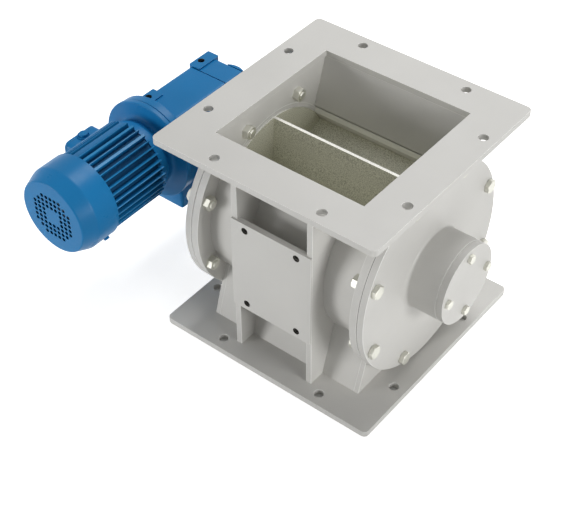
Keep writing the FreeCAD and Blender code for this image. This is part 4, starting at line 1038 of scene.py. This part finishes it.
# %% Motor flange and its neck
MOTOR_FLANGE_R = high("motor_flange").x - MOTOR_AXIS.x
FLANGE_FACE_Y = INPUT_FACE_Y - 0.4 * MM
FLANGE_BACK_Y = INPUT_FACE_Y - 8.5 * MM
FACE_INNER_R = 70 * MM
BACK_INNER_R = 68 * MM
NECK_ROOT_R = 66 * MM
NECK_PULL_R = 46 * MM
NECK_STEPS = 12
SHIELD_R = 59 * MM
SHIELD_BORE_R = 20 * MM
SHIELD_LENGTH = 12 * MM
shield_y = low("motor_flange").y
shield_profile = [(FLANGE_FACE_Y, SHIELD_BORE_R)] + rounded_profile(
    [(FLANGE_FACE_Y, FACE_INNER_R), (FLANGE_FACE_Y, MOTOR_FLANGE_R), (FLANGE_BACK_Y, MOTOR_FLANGE_R),
     (FLANGE_BACK_Y, BACK_INNER_R)], 1.4 * MM)
for k in range(NECK_STEPS + 1):
    t = k / NECK_STEPS
    shield_profile.append((FLANGE_BACK_Y + (shield_y + SHIELD_LENGTH - FLANGE_BACK_Y) * t ** 2,
                           NECK_ROOT_R * (1 - t) ** 2 + 2 * NECK_PULL_R * t * (1 - t) + SHIELD_R * t ** 2))
shield_profile += [(shield_y, SHIELD_R), (shield_y, SHIELD_BORE_R), (FLANGE_FACE_Y, SHIELD_BORE_R)]
shield = turned("y", MOTOR_AXIS, shield_profile, 128)
drive("motor_flange_shield", shield, "motor_flange", smooth=40)

FLANGE_SCREW_INSET = 12 * MM
flange_heads = bmesh.new()
for degrees in (30, 150, 210, 330):
    x, z = on_circle(MOTOR_FLANGE_R - FLANGE_SCREW_INSET, degrees, MOTOR_CENTRE)
    add_head(flange_heads, M8_FLATS, M8_HEAD, (x, INPUT_SEAT_Y, z), (0, 1, 0), degrees)
zinc_heads("motor_flange_screws", flange_heads, "flange_screws")

# %% Finned frame
FRAME_R = 57.5 * MM
FRAME_WALL = 4.5 * MM
FIN_R = 65.5 * MM
FIN_COUNT = 36
FIN_TIP_T = 2.3 * MM
FIN_TAPER = 1.2 * MM
FIN_ROUND = 0.7 * MM
FIN_SHOULDER_R = FIN_R - 0.9 * MM
STOUT_FIN_T = 5.2 * MM
STOUT_FINS = (65.0, 85.0)
LAND_R = 63.5 * MM
LAND_DEGREES = (98.0, 108.0)
LAND_FLANK = 0.5
FINE_FINS = (112.5, 118.5)
FINE_FIN_T = 1.6 * MM
frame_lo, frame_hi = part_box("motor_frame")


def fin_outline():
    """The frame's outline: fins with rounded tips, two of them stout, and a smooth land beside two fine ones."""
    points = []
    middles = [360 * (k + 0.5) / FIN_COUNT for k in range(FIN_COUNT)]
    middles = [m for m in middles if not LAND_DEGREES[0] < m < FINE_FINS[-1]]
    for middle in sorted(middles + list(FINE_FINS)):
        if middle == FINE_FINS[0]:
            points.append(on_circle(FRAME_R, LAND_DEGREES[0] - LAND_FLANK, MOTOR_CENTRE))
            points += arc(MOTOR_CENTRE, LAND_R, *LAND_DEGREES, 16)
            points.append(on_circle(FRAME_R, LAND_DEGREES[1] + LAND_FLANK, MOTOR_CENTRE))
        tip_t = STOUT_FIN_T if middle in STOUT_FINS else FINE_FIN_T if middle in FINE_FINS else FIN_TIP_T
        root = math.degrees((tip_t + FIN_TAPER) / 2 / FRAME_R)
        tip = math.degrees(tip_t / 2 / FIN_R)
        round_off = math.degrees((tip_t / 2 - FIN_ROUND) / FIN_R)
        for radius, offset in ((FRAME_R, -root), (FIN_SHOULDER_R, -tip), (FIN_R, -round_off),
                               (FIN_R, round_off), (FIN_SHOULDER_R, tip), (FRAME_R, root)):
            points.append(on_circle(radius, middle + offset, MOTOR_CENTRE))
    return points


finned = add_plate(bmesh.new(), "y", frame_lo.y, frame_hi.y, fin_outline(),
                   [circle(MOTOR_CENTRE, FRAME_R - FRAME_WALL, 64)])
term_lo, term_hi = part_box("terminal_box")
pocket = box_between((low("terminal_lid").x, term_lo.y, term_lo.z), term_hi)
# The fins' paint is darker between them as painted shade and lighter on their tips as a painted highlight.
piece("motor_fins", carved(finned, pocket), "housing", fin_shade_and_highlight_paint(FRAME_R, FIN_R), "motor_frame",
      smooth=35)
SEAT_X = MOTOR_AXIS.x - 50 * MM
SEAT_INSET = 2 * MM
SEAT_CORNER = 7 * MM
seat_outline = rounded_rectangle(term_lo.y + SEAT_INSET, term_hi.y - SEAT_INSET, term_lo.z + SEAT_INSET,
                                 term_hi.z - SEAT_INSET, SEAT_CORNER)
drive("terminal_seat", add_plate(bmesh.new(), "x", term_hi.x, SEAT_X, seat_outline), "motor_frame", bevel=0.6)


# %% Fan cowl with its grille
COWL_R = high("fan_cowl").x - MOTOR_AXIS.x
cowl_lo, cowl_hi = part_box("fan_cowl")
GRILLE_PITCH = 8.3 * MM
GRILLE_HOLE_R = 3.2 * MM
GRILLE_REACH = 4
GRILLE_CORNER = 6
COWL_STEPS = 96


def grille_holes():
    """Circles on a square grid, without its corners and its middle."""
    holes = []
    for row in range(-GRILLE_REACH, GRILLE_REACH + 1):
        for column in range(-GRILLE_REACH, GRILLE_REACH + 1):
            if max(abs(row), abs(column)) > 1 and abs(row) + abs(column) <= GRILLE_CORNER:
                centre = (MOTOR_CENTRE[0] + GRILLE_PITCH * column, MOTOR_CENTRE[1] + GRILLE_PITCH * row)
                holes.append(circle(centre, GRILLE_HOLE_R, 14))
    return holes


COWL_END_R = COWL_R - 9.1 * MM
COWL_FLAT_R = COWL_END_R - 9 * MM
COWL_SHOULDER = 24 * MM
COWL_SHEET_T = 1.4 * MM
cowl = bmesh.new()
shoulder = rounded_profile([(cowl_lo.y, COWL_FLAT_R), (cowl_lo.y, COWL_END_R),
                            (cowl_lo.y + COWL_SHOULDER, COWL_R), (cowl_hi.y, COWL_R)], 2.4 * MM)[1:]
face_r = shoulder[0][1]
outlines = [circle(MOTOR_CENTRE, face_r, COWL_STEPS)] + grille_holes()
ring, faces = add_fill(cowl, "y", cowl_lo.y, outlines, (0, -1, 0))
reach = face_r
for y, radius in shoulder[1:]:
    ring, corners = drawn_on(cowl, ring)
    for vert in corners:
        offset = Vector((vert.co.x - MOTOR_AXIS.x, 0, vert.co.z - MOTOR_AXIS.z)) * (radius / reach)
        vert.co = Vector((MOTOR_AXIS.x, y, MOTOR_AXIS.z)) + offset
    reach = radius
clean(cowl)
bmesh.ops.solidify(cowl, geom=cowl.faces[:], thickness=COWL_SHEET_T)
piece("fan_cowl_sheet", cowl, "housing", cowl_paint, "fan_cowl", smooth=40)

M5_FLATS = 8 * MM
M5_HEAD = 3.4 * MM
COWL_SCREW_Y = (low("cowl_screws").y + high("cowl_screws").y) / 2
cowl_heads = bmesh.new()
for degrees in (165, 240, 315):
    x, z = on_circle(COWL_R, degrees, MOTOR_CENTRE)
    out = Vector((x - MOTOR_AXIS.x, 0, z - MOTOR_AXIS.z)).normalized()
    add_head(cowl_heads, M5_FLATS, M5_HEAD, (x, COWL_SCREW_Y, z), out, degrees)
piece("cowl_screw_heads", cowl_heads, "housing", cowl_paint, "cowl_screws", smooth=28)

# %% [markdown]
# ## Terminal box
#
# The terminal box hides half behind the motor. Its lid is a cast one with a wide rounded rim, and a closed
# gland sits on top, because the photograph shows a round plug there and no cable.

# %% Terminal box and lid
BOX_CORNER = 9 * MM
LID_GAP = 0.4 * MM
lid_lo, lid_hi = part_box("terminal_lid")
for name, node, x0, x1, bevel, segments in (
        ("terminal_box_shell", "terminal_box", lid_hi.x, term_hi.x, 0.6, 2),
        ("terminal_lid_plate", "terminal_lid", lid_lo.x, lid_hi.x - LID_GAP, 3.4, 5)):
    lo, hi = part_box(node)
    bm = add_plate(bmesh.new(), "x", x0, x1, rounded_rectangle(lo.y, hi.y, lo.z, hi.z, BOX_CORNER))
    drive(name, bm, node, bevel, segments)

# %% Gland
COLLAR_H = 2.5 * MM
GLAND_COLLAR_R = 9.6 * MM
GLAND_STEP_R = 8.4 * MM
GLAND_WAIST_R = 8.2 * MM
DOME_FOOT_R = 7.4 * MM
DOME_TOP_R = 6.4 * MM
gland_lo, gland_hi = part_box("cable_gland")
gland_centre = Vector(((gland_lo.x + gland_hi.x) / 2, (gland_lo.y + gland_hi.y) / 2, 0))
collar_z = gland_lo.z + COLLAR_H
dome = rounded_profile([(gland_lo.z, 0), (gland_lo.z, GLAND_COLLAR_R), (collar_z, GLAND_COLLAR_R),
                        (collar_z, GLAND_STEP_R), (gland_lo.z, GLAND_WAIST_R), (gland_lo.z, DOME_FOOT_R),
                        (gland_hi.z, DOME_TOP_R), (gland_hi.z, 0)], 0.6 * MM)
drive("cable_gland_closed", turned("z", gland_centre, dome, 48), "cable_gland", smooth=35)

# %% [markdown]
# ## Pieces that keep their CAD shape
#
# What sits inside keeps the shape that the CAD gives it and only gets its finish: bearings, seals, the worm
# and its wheel, the windings and the fan, which can be glimpsed through the grille.

# %% Finishes for the inner nodes
INNER = {
    rotor_steel: ["rotor_shaft"],
    bearing_steel: ["bearing_outer_rings", "bearing_inner_rings", "bearing_balls", "drive_key",
                    "hollow_output_shaft", "shaft_retainer", "case_bearing_outers", "case_bearing_inners",
                    "worm_bearing_inners", "worm_shaft", "motor_bearing_outers", "motor_bearing_inners",
                    "motor_shaft"],
    bronze: ["worm_wheel"], core_steel: ["stator_core", "motor_rotor_core"], copper: ["stator_windings"],
    rubber: ["shaft_seals"], black_plastic: ["cooling_fan"], drive_paint: ["rear_end_shield"], zinc: ["oil_plugs"]}
for finish, nodes in INNER.items():
    for node in nodes:
        materials = frame["nodes"][node].data.materials
        materials.clear()
        materials.append(finish)
print("finished inner nodes", sum(len(nodes) for nodes in INNER.values()))

# %% [markdown]
# ## Floor
#
# The floor is a pale sheet under the outlet flange. The photograph has a white ground, so the floor glows a
# little for the rays that show it, and only outside the flange's footprint: the light that falls on the
# valve stays the same, its shadow stays too, and nothing glows under the flange's edge.

# %% Floor
FLOOR_SIZE = 8
FLOOR_DROP = 0.2 * MM
FLOOR_COLOR = (0.82, 0.82, 0.81, 1)
FLOOR_GLOW = 0.70
UNDER_EDGE = 4 * MM
floor_bm = bmesh.new()
bmesh.ops.create_grid(floor_bm, x_segments=1, y_segments=1, size=FLOOR_SIZE)
bmesh.ops.translate(floor_bm, verts=floor_bm.verts, vec=(0, 0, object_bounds()[0][2] - FLOOR_DROP))
floor = add_object("floor", as_mesh("floor", floor_bm))
pale = bpy.data.materials.new("pale floor")
pale.use_nodes = True
tree = pale.node_tree
tree.nodes.clear()
place = add_node(tree, "TexCoord", {}).outputs["Object"]
distance = add_node(tree, "VectorMath", {0: place}, "ABSOLUTE").outputs["Vector"]
across = add_node(tree, "SeparateXYZ", {0: distance}).outputs
farther = combine(tree, "MAXIMUM", across["X"], across["Y"])
outside = combine(tree, "GREATER_THAN", farther, high("outlet_flange").x - UNDER_EDGE)
level = combine(tree, "MULTIPLY", combine(tree, "MULTIPLY", seen_ray(tree), outside), FLOOR_GLOW)
diffuse = add_node(tree, "BsdfDiffuse", {"Color": FLOOR_COLOR})
glow = add_node(tree, "Emission", {"Strength": level})
both = add_node(tree, "AddShader", {0: diffuse.outputs[0], 1: glow.outputs[0]})
sheet = add_node(tree, "OutputMaterial", {})
tree.links.new(both.outputs[0], sheet.inputs["Surface"])
floor.data.materials.append(pale)
